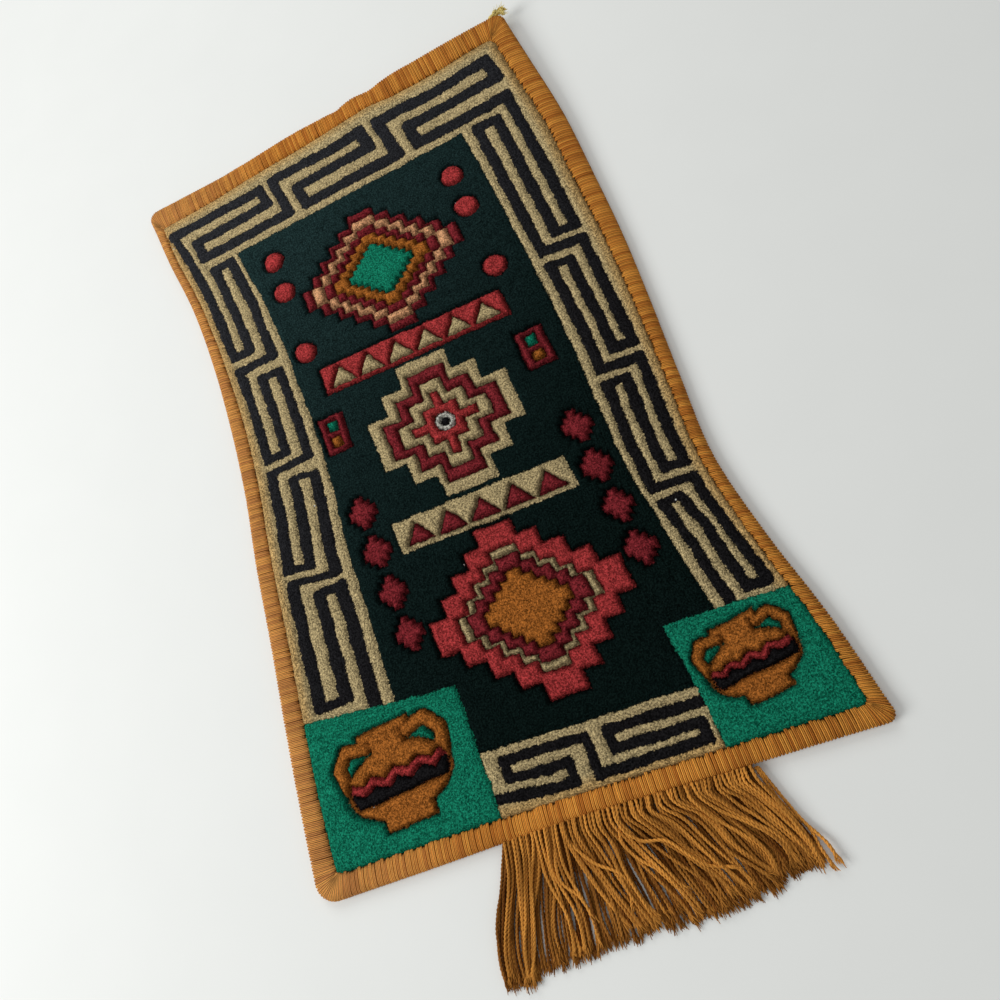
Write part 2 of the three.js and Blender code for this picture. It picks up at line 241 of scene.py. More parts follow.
class Lay:
    """Where each point of the straight cloth is on the cloth as it lies, in mm.

    The radii round the corners of the binding's inner edge and of the pile. full_inset is the inset by
    which a corner's radius has fully changed, and rounds is how often inside() settles its points.
    """

    width = 270.0
    length = 445.0
    curl_reach = 70.0
    inner_radius = 3.0
    pile_radius = 7.0
    full_inset = 10
    rounds = 3
    corners = (
        Corner(-1, -1, 11.0, 0.5),
        Corner(1, -1, 5.0, 0.75),
        Corner(1, 1, 5.0, 0.0),
        Corner(-1, 1, 7.5, 0.25),
    )

    def __init__(self) -> None:
        """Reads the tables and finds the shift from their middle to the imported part's frame."""
        self.up = columns_of(UP_THE_LENGTH, "y")
        self.top = columns_of(ALONG_THE_TOP, "x")
        self.bottom = columns_of(ALONG_THE_BOTTOM, "x")
        self.shift = np.zeros(2)
        steps = np.linspace(0, 1, 400)
        rim = np.concatenate([self.rim(part, steps, 0.0, 0.0) for part in range(8)])
        outline = self.lie(rim[:, 0], rim[:, 1])
        low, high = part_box("edge_binding")
        middle_there = np.array([low.x + high.x, low.y + high.y]) / 2 / MM
        middle_here = (outline[:, :2].min(0) + outline[:, :2].max(0)) / 2
        self.shift = middle_there - middle_here

    def lie(self, x: np.ndarray, y: np.ndarray) -> np.ndarray:
        """Takes points of the straight cloth to where they lie.

        Args:
            x: Places across the straight cloth, in mm.
            y: Places up it.

        Returns:
            x and y as it lies and the height that the curl adds, in mm, on a last axis of 3.
        """
        up_there = blend(self.bottom["edge"](x), self.top["edge"](x), y / self.length + 0.5)
        left = self.up["left"](up_there)
        right = self.up["right"](up_there)
        lift = np.maximum(0, self.up["curl"](up_there))
        curl = lift * soft_step(x, self.width / 2 - self.curl_reach, self.width / 2)
        return np.stack([blend(left, right, x / self.width + 0.5), up_there, curl], axis=-1)

    def in_frame(self, flat: np.ndarray, height: np.ndarray | float) -> np.ndarray:
        """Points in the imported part's frame.

        Args:
            flat: What lie() returned.
            height: Height of each point over the cloth's underside, in mm.

        Returns:
            The points in metres.
        """
        out = np.array(flat, float)
        out[..., :2] += self.shift
        out[..., 2] += height
        return out * MM

    def sides(self, share: np.ndarray | float, inset: np.ndarray | float) -> dict[int, object]:
        """The four edges of the straight cloth, moved in.

        Args:
            share: Share of the binding's width to move in by.
            inset: Further distance to move in, in mm.

        Returns:
            A function for each part of the rim that is a side: 1 bottom, 3 right, 5 top and 7 left.
        """
        half_width = self.width / 2
        half_length = self.length / 2
        return {
            1: lambda x: -half_length + share * self.bottom["binding"](x) + inset,
            3: lambda y: half_width - share * self.up["bind_right"](y) - inset,
            5: lambda x: half_length - share * self.top["binding"](x) - inset,
            7: lambda y: -half_width + share * self.up["bind_left"](y) + inset,
        }

    def arc(self, index: int, t: np.ndarray, share: np.ndarray, inset: np.ndarray) -> np.ndarray:
        """Points on one corner of the rim.

        Args:
            index: Which corner, 0 to 3, anticlockwise from the bottom left.
            t: Share of the corner's arc.
            share: Share of the binding's width to move in by.
            inset: Further distance to move in, in mm.

        Returns:
            Points of the straight cloth, in mm.
        """
        corner = self.corners[index]
        sides = self.sides(share, inset)
        side_x = sides[3 if corner.side_x > 0 else 7]
        side_y = sides[5 if corner.side_y > 0 else 1]
        x = side_x(corner.side_y * self.length / 2)
        y = side_y(corner.side_x * self.width / 2)
        depth = np.clip(share + inset / self.full_inset, 0, 1)
        radius = blend(corner.radius, self.inner_radius, depth)
        angle = 2 * math.pi * (corner.turns + t / 4)
        return np.stack(
            [
                x - corner.side_x * radius + radius * np.cos(angle),
                y - corner.side_y * radius + radius * np.sin(angle),
            ],
            axis=-1,
        )

    def rim(self, part: int, t: np.ndarray, share: float, inset: float) -> np.ndarray:
        """Points round the edge, anticlockwise from the bottom left corner.

        Args:
            part: 0 to 7, a corner and the side after it in turn.
            t: Share of that part.
            share: Share of the binding's width to move in by.
            inset: Further distance to move in, in mm.

        Returns:
            Points of the straight cloth, in mm.
        """
        t, share, inset = np.broadcast_arrays(
            np.asarray(t, float), np.asarray(share, float), np.asarray(inset, float)
        )
        if part % 2 == 0:
            return self.arc(part // 2, t, share, inset)
        start = self.arc(part // 2, np.ones_like(t), share, inset)
        end = self.arc((part // 2 + 1) % 4, np.zeros_like(t), share, inset)
        side = self.sides(share, inset)[part]
        if part in (1, 5):
            x = blend(start[..., 0], end[..., 0], t)
            return np.stack([x, side(x)], axis=-1)
        y = blend(start[..., 1], end[..., 1], t)
        return np.stack([side(y), y], axis=-1)

    def rounded(self, a: np.ndarray, b: np.ndarray) -> tuple[np.ndarray, np.ndarray]:
        """Rounds the corners of a grid of shares.

        Args:
            a: Share from the left edge to the right.
            b: Share from the bottom edge to the top.

        Returns:
            The shares, with those beside the corners drawn in.
        """
        radius = self.pile_radius
        from_side = np.minimum(a, 1 - a) * self.width
        from_end = np.minimum(b, 1 - b) * self.length
        p = np.clip(1 - from_side / radius, 0, 1)
        q = np.clip(1 - from_end / radius, 0, 1)
        draw_a = p * (1 - np.sqrt(1 - q * q / 2)) * radius / self.width
        draw_b = q * (1 - np.sqrt(1 - p * p / 2)) * radius / self.length
        return a + np.where(a < 0.5, draw_a, -draw_a), b + np.where(b < 0.5, draw_b, -draw_b)

    def inside(self, a: np.ndarray, b: np.ndarray, share: float, inset: float) -> np.ndarray:
        """Points over the whole cloth inside its moved-in edges.

        Args:
            a: Share from the left edge to the right.
            b: Share from the bottom edge to the top.
            share: Share of the binding's width that the edges are moved in by.
            inset: Further distance that they are moved in, in mm.

        Returns:
            Points of the straight cloth, in mm.
        """
        sides = self.sides(share, inset)
        a, b = self.rounded(a, b)
        x = (a - 0.5) * self.width
        y = (b - 0.5) * self.length
        for _ in range(self.rounds):
            x = blend(sides[7](y), sides[3](y), a)
            y = blend(sides[1](x), sides[5](x), b)
        return np.stack([x, y], axis=-1)

    def facing(self, outer: np.ndarray) -> np.ndarray:
        """The points of the binding's inner edge that face points of its outer edge.

        Args:
            outer: Points of the straight cloth on its outer edge, in mm.

        Returns:
            The inner points, which draw together beside the corners.
        """
        x, y = outer[..., 0], outer[..., 1]
        sides = self.sides(1.0, 0.0)
        inner_x = soft_clamp(x, sides[7](y), sides[3](y), self.inner_radius)
        inner_y = soft_clamp(y, sides[1](x), sides[5](x), self.inner_radius)
        return np.stack([inner_x, inner_y], axis=-1)

    def to_edge(self, x: np.ndarray, y: np.ndarray) -> np.ndarray:
        """How far points of the straight cloth are inside the binding's inner edge, in mm."""
        sides = self.sides(1.0, 0.0)
        across = np.minimum(x - sides[7](y), sides[3](y) - x)
        along = np.minimum(y - sides[1](x), sides[5](x) - y)
        return np.minimum(across, along)


# ---------------------------------------------------------------- unevenness of hand work


class Unevenness:
    """Smooth chance variation over a plane, the same at each run."""

    cells = 256

    def __init__(self, seed: int) -> None:
        """Fills the lattice with the chance values of a seed."""
        self.lattice = np.random.default_rng(seed).uniform(-1, 1, (self.cells, self.cells))

    def crossing(self, row: np.ndarray, column: np.ndarray) -> np.ndarray:
        """The chance value at a crossing of the lattice, which repeats both ways."""
        return self.lattice[row % self.cells, column % self.cells]

    def over(self, x: np.ndarray, y: np.ndarray, size: float) -> np.ndarray:
        """The variation at each point.

        Args:
            x: Places across, in mm.
            y: Places up, in mm.
            size: Distance between two chance values, in mm.

        Returns:
            Values from -1 to 1.
        """
        column = np.floor(x / size).astype(int)
        row = np.floor(y / size).astype(int)
        u = soft_step(x / size - column, 0, 1)
        v = soft_step(y / size - row, 0, 1)
        low = blend(self.crossing(row, column), self.crossing(row, column + 1), u)
        high = blend(self.crossing(row + 1, column), self.crossing(row + 1, column + 1), u)
        return blend(low, high, v)


# ---------------------------------------------------------------- shapes of the pattern, in mm


Point = tuple[float, float]
FAR = 1e9
SHORTEST_RUN = 0.01


def disc(x: np.ndarray, y: np.ndarray, centre: Point, radius: float) -> np.ndarray:
    """Distance inside a round spot, less than 0 outside it."""
    return radius - np.hypot(x - centre[0], y - centre[1])


def block(x: np.ndarray, y: np.ndarray, centre: Point, half: Point) -> np.ndarray:
    """Distance inside an upright block of the given half width and half height."""
    return np.minimum(half[0] - np.abs(x - centre[0]), half[1] - np.abs(y - centre[1]))


def oval(x: np.ndarray, y: np.ndarray, centre: Point, half: Point) -> np.ndarray:
    """About the distance inside an oval of the given half width and half height."""
    scaled = np.hypot((x - centre[0]) / half[0], (y - centre[1]) / half[1])
    return (1 - scaled) * min(half)


def stroke(
    x: np.ndarray, y: np.ndarray, path: list[tuple[float, float, float]], roundness: float = 1.0
) -> np.ndarray:
    """Distance inside a band drawn along a path.

    Args:
        x: Places across.
        y: Places up.
        path: The points that the band's middle runs through, and half of its width at each.
        roundness: 1 for round ends, less for squarer ones.

    Returns:
        The distance inside it, less than 0 outside.
    """
    inside = np.full(x.shape, -FAR)
    for (x0, y0, half0), (x1, y1, half1) in zip(path, path[1:]):
        run_x, run_y = x1 - x0, y1 - y0
        length = math.hypot(run_x, run_y)
        if length < SHORTEST_RUN:
            continue
        along = ((x - x0) * run_x + (y - y0) * run_y) / length
        across = np.abs((x - x0) * run_y - (y - y0) * run_x) / length
        half = blend(half0, half1, np.clip(along / length, 0, 1))
        beyond = np.maximum(np.maximum(along - length, -along), 0)
        core = half * (1 - roundness)
        corner = np.hypot(np.maximum(beyond - core, 0), np.maximum(across - core, 0))
        away = corner + np.minimum(np.maximum(beyond, across), core)
        inside = np.maximum(inside, half - away)
    return inside


def area(x: np.ndarray, y: np.ndarray, outline: list[Point]) -> np.ndarray:
    """Distance inside a closed outline.

    Args:
        x: Places across.
        y: Places up.
        outline: Its corners in order.

    Returns:
        The distance inside it, less than 0 outside.
    """
    closed = [*outline, outline[0]]
    inside = np.zeros(x.shape, bool)
    for (x0, y0), (x1, y1) in zip(closed, closed[1:]):
        if y0 == y1:
            continue
        crosses = (y0 > y) != (y1 > y)
        inside ^= crosses & (x < x0 + (y - y0) * (x1 - x0) / (y1 - y0))
    distance = -stroke(x, y, [(*corner, 0.0) for corner in closed])
    return np.where(inside, distance, -distance)


def stepped_diamond(x: np.ndarray, y: np.ndarray, centre: Point, half: Point, steps: int) -> np.ndarray:
    """Distance inside a diamond with stepped sides.

    Args:
        x: Places across.
        y: Places up.
        centre: Its middle.
        half: Half of its width and of its height.
        steps: Steps from its middle to its point.

    Returns:
        The distance inside it, less than 0 outside.
    """
    blocks = [
        block(x, y, centre, (half[0] * (step + 1) / steps, half[1] * (steps - step) / steps))
        for step in range(steps)
    ]
    return np.max(blocks, axis=0)


# ---------------------------------------------------------------- the key border


@dataclass(frozen=True)
class LaneRow:
    """Where the three lanes of a key run at one place and half of their width there, in mm."""

    at: float
    outer: float
    middle: float
    inner: float
    half: float


@dataclass(frozen=True)
class KeyUnit:
    """One turn of the key: it runs out to its foot, back to its head, out again and crosses over.

    lean is how much further along the band each lane is than the one outside it, and bar how thick the
    parts across the band are as a share of the lanes' own width.
    """

    foot: float
    head: float
    cross: float
    lean: float = 0.0
    bar: float = 1.0


@dataclass(frozen=True)
class KeyBand:
    """A running key along one edge of the cloth."""

    upright: bool
    start: float
    lanes: tuple[LaneRow, ...]
    units: tuple[KeyUnit, ...]
    longest_step: float = 8.0

    def turns(self) -> list[tuple[str, float, float]]:
        """The key's turns in order.

        Returns:
            For each turn its lane, its place along the band and the share of the bar there.
        """
        turns = [("outer", self.start, 1.0)]
        for index, unit in enumerate(self.units):
            turns += [("outer", unit.foot - unit.lean, unit.bar), ("middle", unit.foot, unit.bar)]
            turns += [("middle", unit.head, unit.bar), ("inner", unit.head + unit.lean, unit.bar)]
            turns += [("inner", unit.cross + unit.lean, unit.bar)]
            if index < len(self.units) - 1:
                turns += [("outer", unit.cross - unit.lean, unit.bar)]
        return turns

    def path(self) -> list[tuple[float, float, float]]:
        """The line that the key follows.

        Returns:
            Points often enough for its bends, each with half of the key's width there.
        """
        lanes = columns_of(self.lanes, "at")
        turns = self.turns()
        path = []
        for (lane, at, bar), (next_lane, next_at, next_bar) in zip(turns, turns[1:]):
            along = lane == next_lane
            pull = math.copysign(1.0, next_at - at) if along else 0.0
            first = at + pull * (1 - bar) * float(lanes["half"](at))
            last = next_at - pull * (1 - next_bar) * float(lanes["half"](next_at))
            steps = max(1, round(abs(last - first) / self.longest_step)) if along else 1
            for step in range(steps + 1):
                here = blend(first, last, step / steps)
                off = float(lanes[next_lane if step == steps else lane](here))
                half = float(lanes["half"](here)) * (1.0 if along else bar)
                path.append((off, here, half) if self.upright else (here, off, half))
        return path


KEY_BANDS = (
    KeyBand(
        upright=True,
        start=195,
        lanes=(
            LaneRow(195, -124, -110, -98, 3.3),
            LaneRow(170, -117.4, -105, -93, 3.3),
            LaneRow(150, -112.6, -101, -88.8, 3.4),
            LaneRow(120, -108.4, -97, -83.8, 3.5),
            LaneRow(100, -106.3, -94.3, -82.2, 3.35),
            LaneRow(60, -102.7, -91.2, -79, 3.25),
            LaneRow(30, -101.7, -89.5, -77.2, 3.2),
            LaneRow(-20, -103.1, -90.3, -77.2, 3.6),
            LaneRow(-50, -106.8, -93.3, -80.0, 3.8),
            LaneRow(-90, -108.5, -93.8, -80.1, 3.95),
            LaneRow(-140, -110.5, -94.7, -80.3, 3.9),
        ),
        units=(
            KeyUnit(86.9, 154.5, 76, bar=0.95),
            KeyUnit(12.6, 65, 4.2, bar=0.76),
            KeyUnit(-57.2, -5, -65, -2.0, bar=0.6),
            KeyUnit(-132.2, -74.5, -146, bar=0.68),
        ),
    ),
    KeyBand(
        upright=False,
        start=-124,
        lanes=(
            LaneRow(-124, 195, 180.5, 167, 3.8),
            LaneRow(-85, 195, 181.5, 167, 3.9),
            LaneRow(-60, 195.2, 181.7, 167, 3.9),
            LaneRow(-45, 196.8, 182.5, 167, 3.8),
            LaneRow(-20, 196.8, 182.6, 167, 3.9),
            LaneRow(-2, 196, 182.8, 167, 4.0),
            LaneRow(18, 197.9, 183, 167, 4.6),
            LaneRow(45, 198, 183, 167.1, 4.4),
            LaneRow(64, 196.8, 182.5, 166.9, 4.2),
            LaneRow(112, 196.6, 181, 165.4, 4.2),
        ),
        units=(
            KeyUnit(-54.5, -109, -44.5, 2.5, bar=0.95),
            KeyUnit(21, -32, 34, 2.5, bar=0.95),
            KeyUnit(110.5, 48.8, 109, 2.0, bar=0.95),
        ),
    ),
    KeyBand(
        upright=True,
        start=165.4,
        lanes=(
            LaneRow(168, 110.8, 99.5, 86.5, 3.6),
            LaneRow(150, 111.6, 100, 87, 3.35),
            LaneRow(110, 113.2, 101.2, 89, 3.6),
            LaneRow(70, 114, 102.3, 90.5, 3.3),
            LaneRow(30, 114, 103.5, 92.5, 3.2),
            LaneRow(-10, 114.3, 103.9, 93.3, 3.4),
            LaneRow(-40, 113.1, 102.6, 92.3, 3.15),
            LaneRow(-70, 111.5, 101.4, 91, 3.1),
            LaneRow(-100, 112.1, 101.6, 92.1, 2.75),
            LaneRow(-120, 115.1, 106.9, 96.5, 2.75),
            LaneRow(-140, 118.9, 109.4, 99.3, 2.9),
            LaneRow(-160, 122.4, 112.5, 102.3, 2.9),
        ),
        units=(
            KeyUnit(64.5, 154, 55.1, 1.5),
            KeyUnit(-15.6, 45, -24.7, 1.5, bar=0.92),
            KeyUnit(-86.8, -33.5, -94.8, 1.0, bar=0.85),
            KeyUnit(-155, -102.5, -164, bar=0.9),
        ),
    ),
    KeyBand(
        upright=False,
        start=-40,
        lanes=(
            LaneRow(-38, -203, -195.2, -187, 2.6),
            LaneRow(0, -208, -199, -189.8, 2.6),
            LaneRow(26, -208.7, -200.6, -191.6, 2.6),
            LaneRow(75, -210.4, -202.6, -194.5, 2.7),
        ),
        units=(KeyUnit(3.5, -26, 15), KeyUnit(67.5, 26, 78)),
    ),
)

KEY_ROUNDNESS = 0.6

# The corners of the field, clockwise from the bottom left, where it runs in under the two squares.
FIELD = (
    *((-70.3, -146), (-70.5, -50), (-68.3, -20), (-68.8, 30)),
    *((-70.8, 60), (-74, 100), (-77, 120), (-84.6, 158)),
    *((78, 158), (81, 110), (83, 70), (84.5, 30), (85.2, -10)),
    *((84, -70), (88.8, -120), (91.5, -140), (95, -163)),
    *((71, -163), (74, -188), (-38, -181), (-39, -149)),
)
LEFT_SQUARE = ((-150, -134), (-123, -136), (-37, -147), (-36, -181), (-36, -235), (-150, -235))
RIGHT_SQUARE = ((68.5, -157), (129, -161), (150, -163), (150, -240), (74, -240), (73, -217), (72, -188))


# ---------------------------------------------------------------- the pattern


class Yarn(Enum):
    """The colours of the pile, in the order in which the finish lays them."""

    GREEN = "green"
    BLACK = "black"
    TAN = "tan"
    EMERALD = "emerald"
    RED = "red"
    ROSE = "rose"
    BROWN = "brown"
    PEACH = "peach"
    WHITE = "white"


CARVED = (Yarn.RED, Yarn.ROSE, Yarn.BROWN, Yarn.PEACH, Yarn.WHITE)


@dataclass(frozen=True)
class Jar:
    """A round jar with a short neck, two loop handles and a toothed band.

    handle is a path with half of its width at each point, and the other parts are middles and half sizes.
    """

    handle: tuple[tuple[float, float, float], ...] = (
        (11, 17, 3.3),
        (21, 19, 3.3),
        (27, 12, 3.3),
        (25, 3, 3.3),
    )
    neck: tuple[Point, Point] = ((0, 15), (9, 7))
    lip: tuple[Point, Point] = ((0, 21), (14, 2.8))
    body: tuple[Point, Point] = ((0, -2), (27, 16))
    face: tuple[Point, Point] = ((0, -2), (25.5, 14.5))
    foot: tuple[Point, Point] = ((0, -18), (13, 4))
    band_low: float = -8
    band_rim: float = 1.5
    tooth: float = 3.2
    tooth_pitch: float = 12.0


class Chart:
    """Which yarn each point of the pile has, as the distance inside the nearest edge of that yarn.

    wander is how far the worked edges stray from the drawn ones and over what length, and ragged is how far
    each knot does. lean and tilt turn the motifs with the field. tooth_half is half of a triangle's width
    as a share of its pitch, and each cross share is of the arm and of the outlines so far. beside is how
    far from the middle the small motifs are. Lengths are in mm.
    """

    wander = ((0.5, 7.0), (0.4, 2.3))
    ragged = 0.28
    outside = 60.0
    lean = Column([158, -50, -185], [-1, 7, 17])
    tilt = 0.04
    tooth_margin = 3.0
    tooth_half = 0.44
    cross_waist = (0.36, 0.55)
    cross_shoulder = (0.68, 0.8)
    beside = 62
    spots = (136, 112, 66)
    small_diamonds = (-44, -68, -92, -116)
    carved_from = -3.0
    carved_full = -1.0
    carved_width = 1.15

    def __init__(self, x: np.ndarray, y: np.ndarray) -> None:
        """Starts as plain tan, and knows each point's place with a little of the hand's wandering.

        Args:
            x: Places across the cloth as it lies, in mm.
            y: Places up it.
        """
        wander_x = Unevenness(11)
        wander_y = Unevenness(12)
        chance = np.random.default_rng(13)
        self.x = np.array(x, float)
        self.y = np.array(y, float)
        for size, run in self.wander:
            self.x += size * wander_x.over(x, y, run)
            self.y += size * wander_y.over(x, y, run)
        self.x += chance.uniform(-self.ragged, self.ragged, x.shape)
        self.y += chance.uniform(-self.ragged, self.ragged, x.shape)
        self.inside = {yarn: np.full(x.shape, -self.outside) for yarn in Yarn}
        self.inside[Yarn.TAN] = np.full(x.shape, self.outside)
        self.s = self.x - self.lean(self.y)
        self.t = self.y + self.tilt * self.s

    def lay(self, yarn: Yarn, shape: np.ndarray) -> None:
        """Works a shape over what is there.

        Args:
            yarn: The yarn that it is worked in.
            shape: Distance inside it, less than 0 outside.
        """
        for other in Yarn:
            if other is yarn:
                self.inside[other] = np.maximum(self.inside[other], shape)
            else:
                self.inside[other] = np.minimum(self.inside[other], -shape)

    def border(self) -> None:
        """The key border, the field inside it and the two squares."""
        x, y = self.x, self.y
        for band in KEY_BANDS:
            self.lay(Yarn.BLACK, stroke(x, y, band.path(), KEY_ROUNDNESS))
        self.lay(Yarn.GREEN, area(x, y, list(FIELD)))
        self.lay(Yarn.EMERALD, area(x, y, list(LEFT_SQUARE)))
        self.lay(Yarn.EMERALD, area(x, y, list(RIGHT_SQUARE)))

    def medallion(
        self, centre: float, half: Point, steps: int, rings: tuple[tuple[Yarn, float], ...]
    ) -> None:
        """A stepped diamond with rings of other colours.

        Args:
            centre: Its height up the field.
            half: Half of its width and of its height.
            steps: Steps from its middle to its point.
            rings: The yarn of each ring from the outside in, and how far in it starts.
        """
        for yarn, inset in rings:
            size = (half[0] - inset, half[1] * (1 - inset / half[0]))
            self.lay(yarn, stepped_diamond(self.s, self.t, (0, centre), size, steps))

    def tooth_band(self, centre: float, half: Point, teeth: int, ground: Yarn, tooth: Yarn) -> None:
        """A band across the field with a row of triangles.

        Args:
            centre: Its height up the field.
            half: Half of its width and of its height.
            teeth: How many triangles.
            ground: The yarn of the band.
            tooth: The yarn of the triangles.
        """
        self.lay(ground, block(self.s, self.t, (0, centre), half))
        pitch = 2 * (half[0] - self.tooth_margin) / teeth
        reach = pitch * self.tooth_half
        base = centre - half[1] + self.tooth_margin
        top = centre + half[1] - self.tooth_margin
        for index in range(teeth):
            middle = -half[0] + self.tooth_margin + (index + 0.5) * pitch
            corners = [(middle - reach, base), (middle + reach, base), (middle, top)]
            self.lay(tooth, area(self.s, self.t, corners))

    def cross(self, centre: float, arm: float, yarns: tuple[Yarn, ...], step: float) -> None:
        """A stepped cross with an outline of each yarn in turn.

        Args:
            centre: Its height up the field.
            arm: Half of its whole width.
            yarns: From the outside in.
            step: Width of each outline.
        """
        for index, yarn in enumerate(yarns):
            size = arm - index * step
            waist = arm * self.cross_waist[0] - index * step * self.cross_waist[1]
            middle = arm * self.cross_shoulder[0] - index * step * self.cross_shoulder[1]
            blocks = [
                block(self.s, self.t, (0, centre), (size, waist)),
                block(self.s, self.t, (0, centre), (waist, size)),
                block(self.s, self.t, (0, centre), (middle, middle)),
            ]
            self.lay(yarn, np.max(blocks, axis=0))

    def field(self) -> None:
        """Geometric motifs down the middle of the field, with spots and small diamonds beside them."""
        s, t = self.s, self.t
        self.medallion(
            98,
            (52, 44),
            6,
            (
                (Yarn.RED, 0.0),
                (Yarn.PEACH, 6.5),
                (Yarn.RED, 14.0),
                (Yarn.BROWN, 21.0),
                (Yarn.EMERALD, 30.5),
            ),
        )
        self.tooth_band(42, (58, 9), 6, Yarn.ROSE, Yarn.TAN)
        self.cross(-12, 42, (Yarn.TAN, Yarn.RED, Yarn.TAN, Yarn.ROSE, Yarn.BROWN), 7.5)
        self.lay(Yarn.WHITE, disc(s, t, (0, -12), 5.5))
        self.lay(Yarn.BLACK, disc(s, t, (0, -12), 2.6))
        self.tooth_band(-66, (50, 9), 5, Yarn.TAN, Yarn.RED)
        self.medallion(
            -124,
            (52, 47),
            5,
            ((Yarn.ROSE, 0.0), (Yarn.TAN, 15.0), (Yarn.RED, 20.0), (Yarn.BROWN, 29.0)),
        )
        for side in (-1, 1):
            place = side * self.beside
            for height in self.spots:
                self.lay(Yarn.ROSE, disc(s, t, (place, height), 7.0))
            self.lay(Yarn.RED, block(s, t, (place, 8), (8, 12)))
            self.lay(Yarn.EMERALD, block(s, t, (place, 13), (3.2, 3.2)))
            self.lay(Yarn.BROWN, block(s, t, (place, 3), (3.2, 3.2)))
            for height in self.small_diamonds:
                self.lay(Yarn.RED, stepped_diamond(s, t, (place + side, height), (8, 9.5), 3))

    def jar(self, jar: Jar, centre: Point, lean: float, size: float) -> None:
        """Works a jar.

        Args:
            jar: Its shape.
            centre: The middle of its body.
            lean: How far its upright is turned, in radians.
            size: How large it is, 1 for a jar 60 mm across its handles.
        """
        across, up = (self.x - centre[0]) / size, (self.y - centre[1]) / size
        x = across * math.cos(lean) + up * math.sin(lean)
        y = up * math.cos(lean) - across * math.sin(lean)
        shapes = []
        for side in (-1, 1):
            handle = [(side * out, height, half) for out, height, half in jar.handle]
            shapes.append((Yarn.BROWN, stroke(x, y, handle)))
        shapes.append((Yarn.BROWN, block(x, y, *jar.neck)))
        shapes.append((Yarn.BROWN, block(x, y, *jar.lip)))
        shapes.append((Yarn.BROWN, oval(x, y, *jar.body)))
        shapes.append((Yarn.BROWN, block(x, y, *jar.foot)))
        face = oval(x, y, *jar.face)
        above = y - jar.band_low
        saw = jar.tooth * np.abs(((x / jar.tooth_pitch) % 1.0) - 0.5) * 2
        shapes.append((Yarn.ROSE, np.minimum(face, np.minimum(above, jar.band_rim + saw - y))))
        shapes.append((Yarn.BLACK, np.minimum(face, np.minimum(above, saw - jar.tooth - y))))
        for yarn, shape in shapes:
            self.lay(yarn, shape * size)

    def draw(self) -> None:
        """Works the whole pattern."""
        self.border()
        self.field()
        self.jar(Jar(), (-80, -176.5), 0.06, 1.08)
        self.jar(Jar(), (100, -185), 0.1, 0.82)

    def edge_distance(self) -> np.ndarray:
        """Distance from each point to the nearest change of yarn, in mm."""
        return np.maximum(np.max([self.inside[yarn] for yarn in Yarn], axis=0), 0)

    def carved(self) -> np.ndarray:
        """How far the pile is cut away beside the raised motifs: 1 on their outlines and 0 elsewhere. The
        pile finish also paints shade into these grooves from it.
        """
        motif = np.max([self.inside[yarn] for yarn in CARVED], axis=0)
        raised = soft_step(motif, self.carved_from, self.carved_full)
        return raised * np.exp(-((self.edge_distance() / self.carved_width) ** 2))


# ---------------------------------------------------------------- shader maths


class Value:
    """One socket of a material, on which plain arithmetic adds Math nodes."""

    def __init__(self, paint: "Paint", socket: bpy.types.NodeSocket) -> None:
        """Keeps the socket and the tree that it is in."""
        self.paint = paint
        self.socket = socket

    def math(self, operation: str, *others: object) -> "Value":
        """Adds a Math node.

        Args:
            operation: The node's operation.
            others: Its further inputs, as values or numbers.

        Returns:
            The result.
        """
        inputs = dict(enumerate([self, *others]))
        node = self.paint.node("ShaderNodeMath", {"operation": operation}, inputs)
        return Value(self.paint, node.outputs[0])

    def __add__(self, other: object) -> "Value":
        """self + other."""
        return self.math("ADD", other)

    def __sub__(self, other: object) -> "Value":
        """self - other."""
        return self.math("SUBTRACT", other)

    def __rsub__(self, other: float) -> "Value":
        """other - self."""
        return self.math("MULTIPLY_ADD", -1.0, other)

    def __mul__(self, other: object) -> "Value":
        """self * other."""
        return self.math("MULTIPLY", other)

    def rise(self, low: float, high: float) -> "Value":
        """0 below low, 1 above high and a smooth rise between them."""
        settings = {"interpolation_type": "SMOOTHSTEP"}
        inputs = {"Value": self, "From Min": low, "From Max": high}
        return self.paint.value("ShaderNodeMapRange", "Result", settings, inputs)


@dataclass(frozen=True)
class Slope:
    """A steady change over an object: how much for each metre across and up, and its middle value."""

    across: float
    up: float
    middle: float


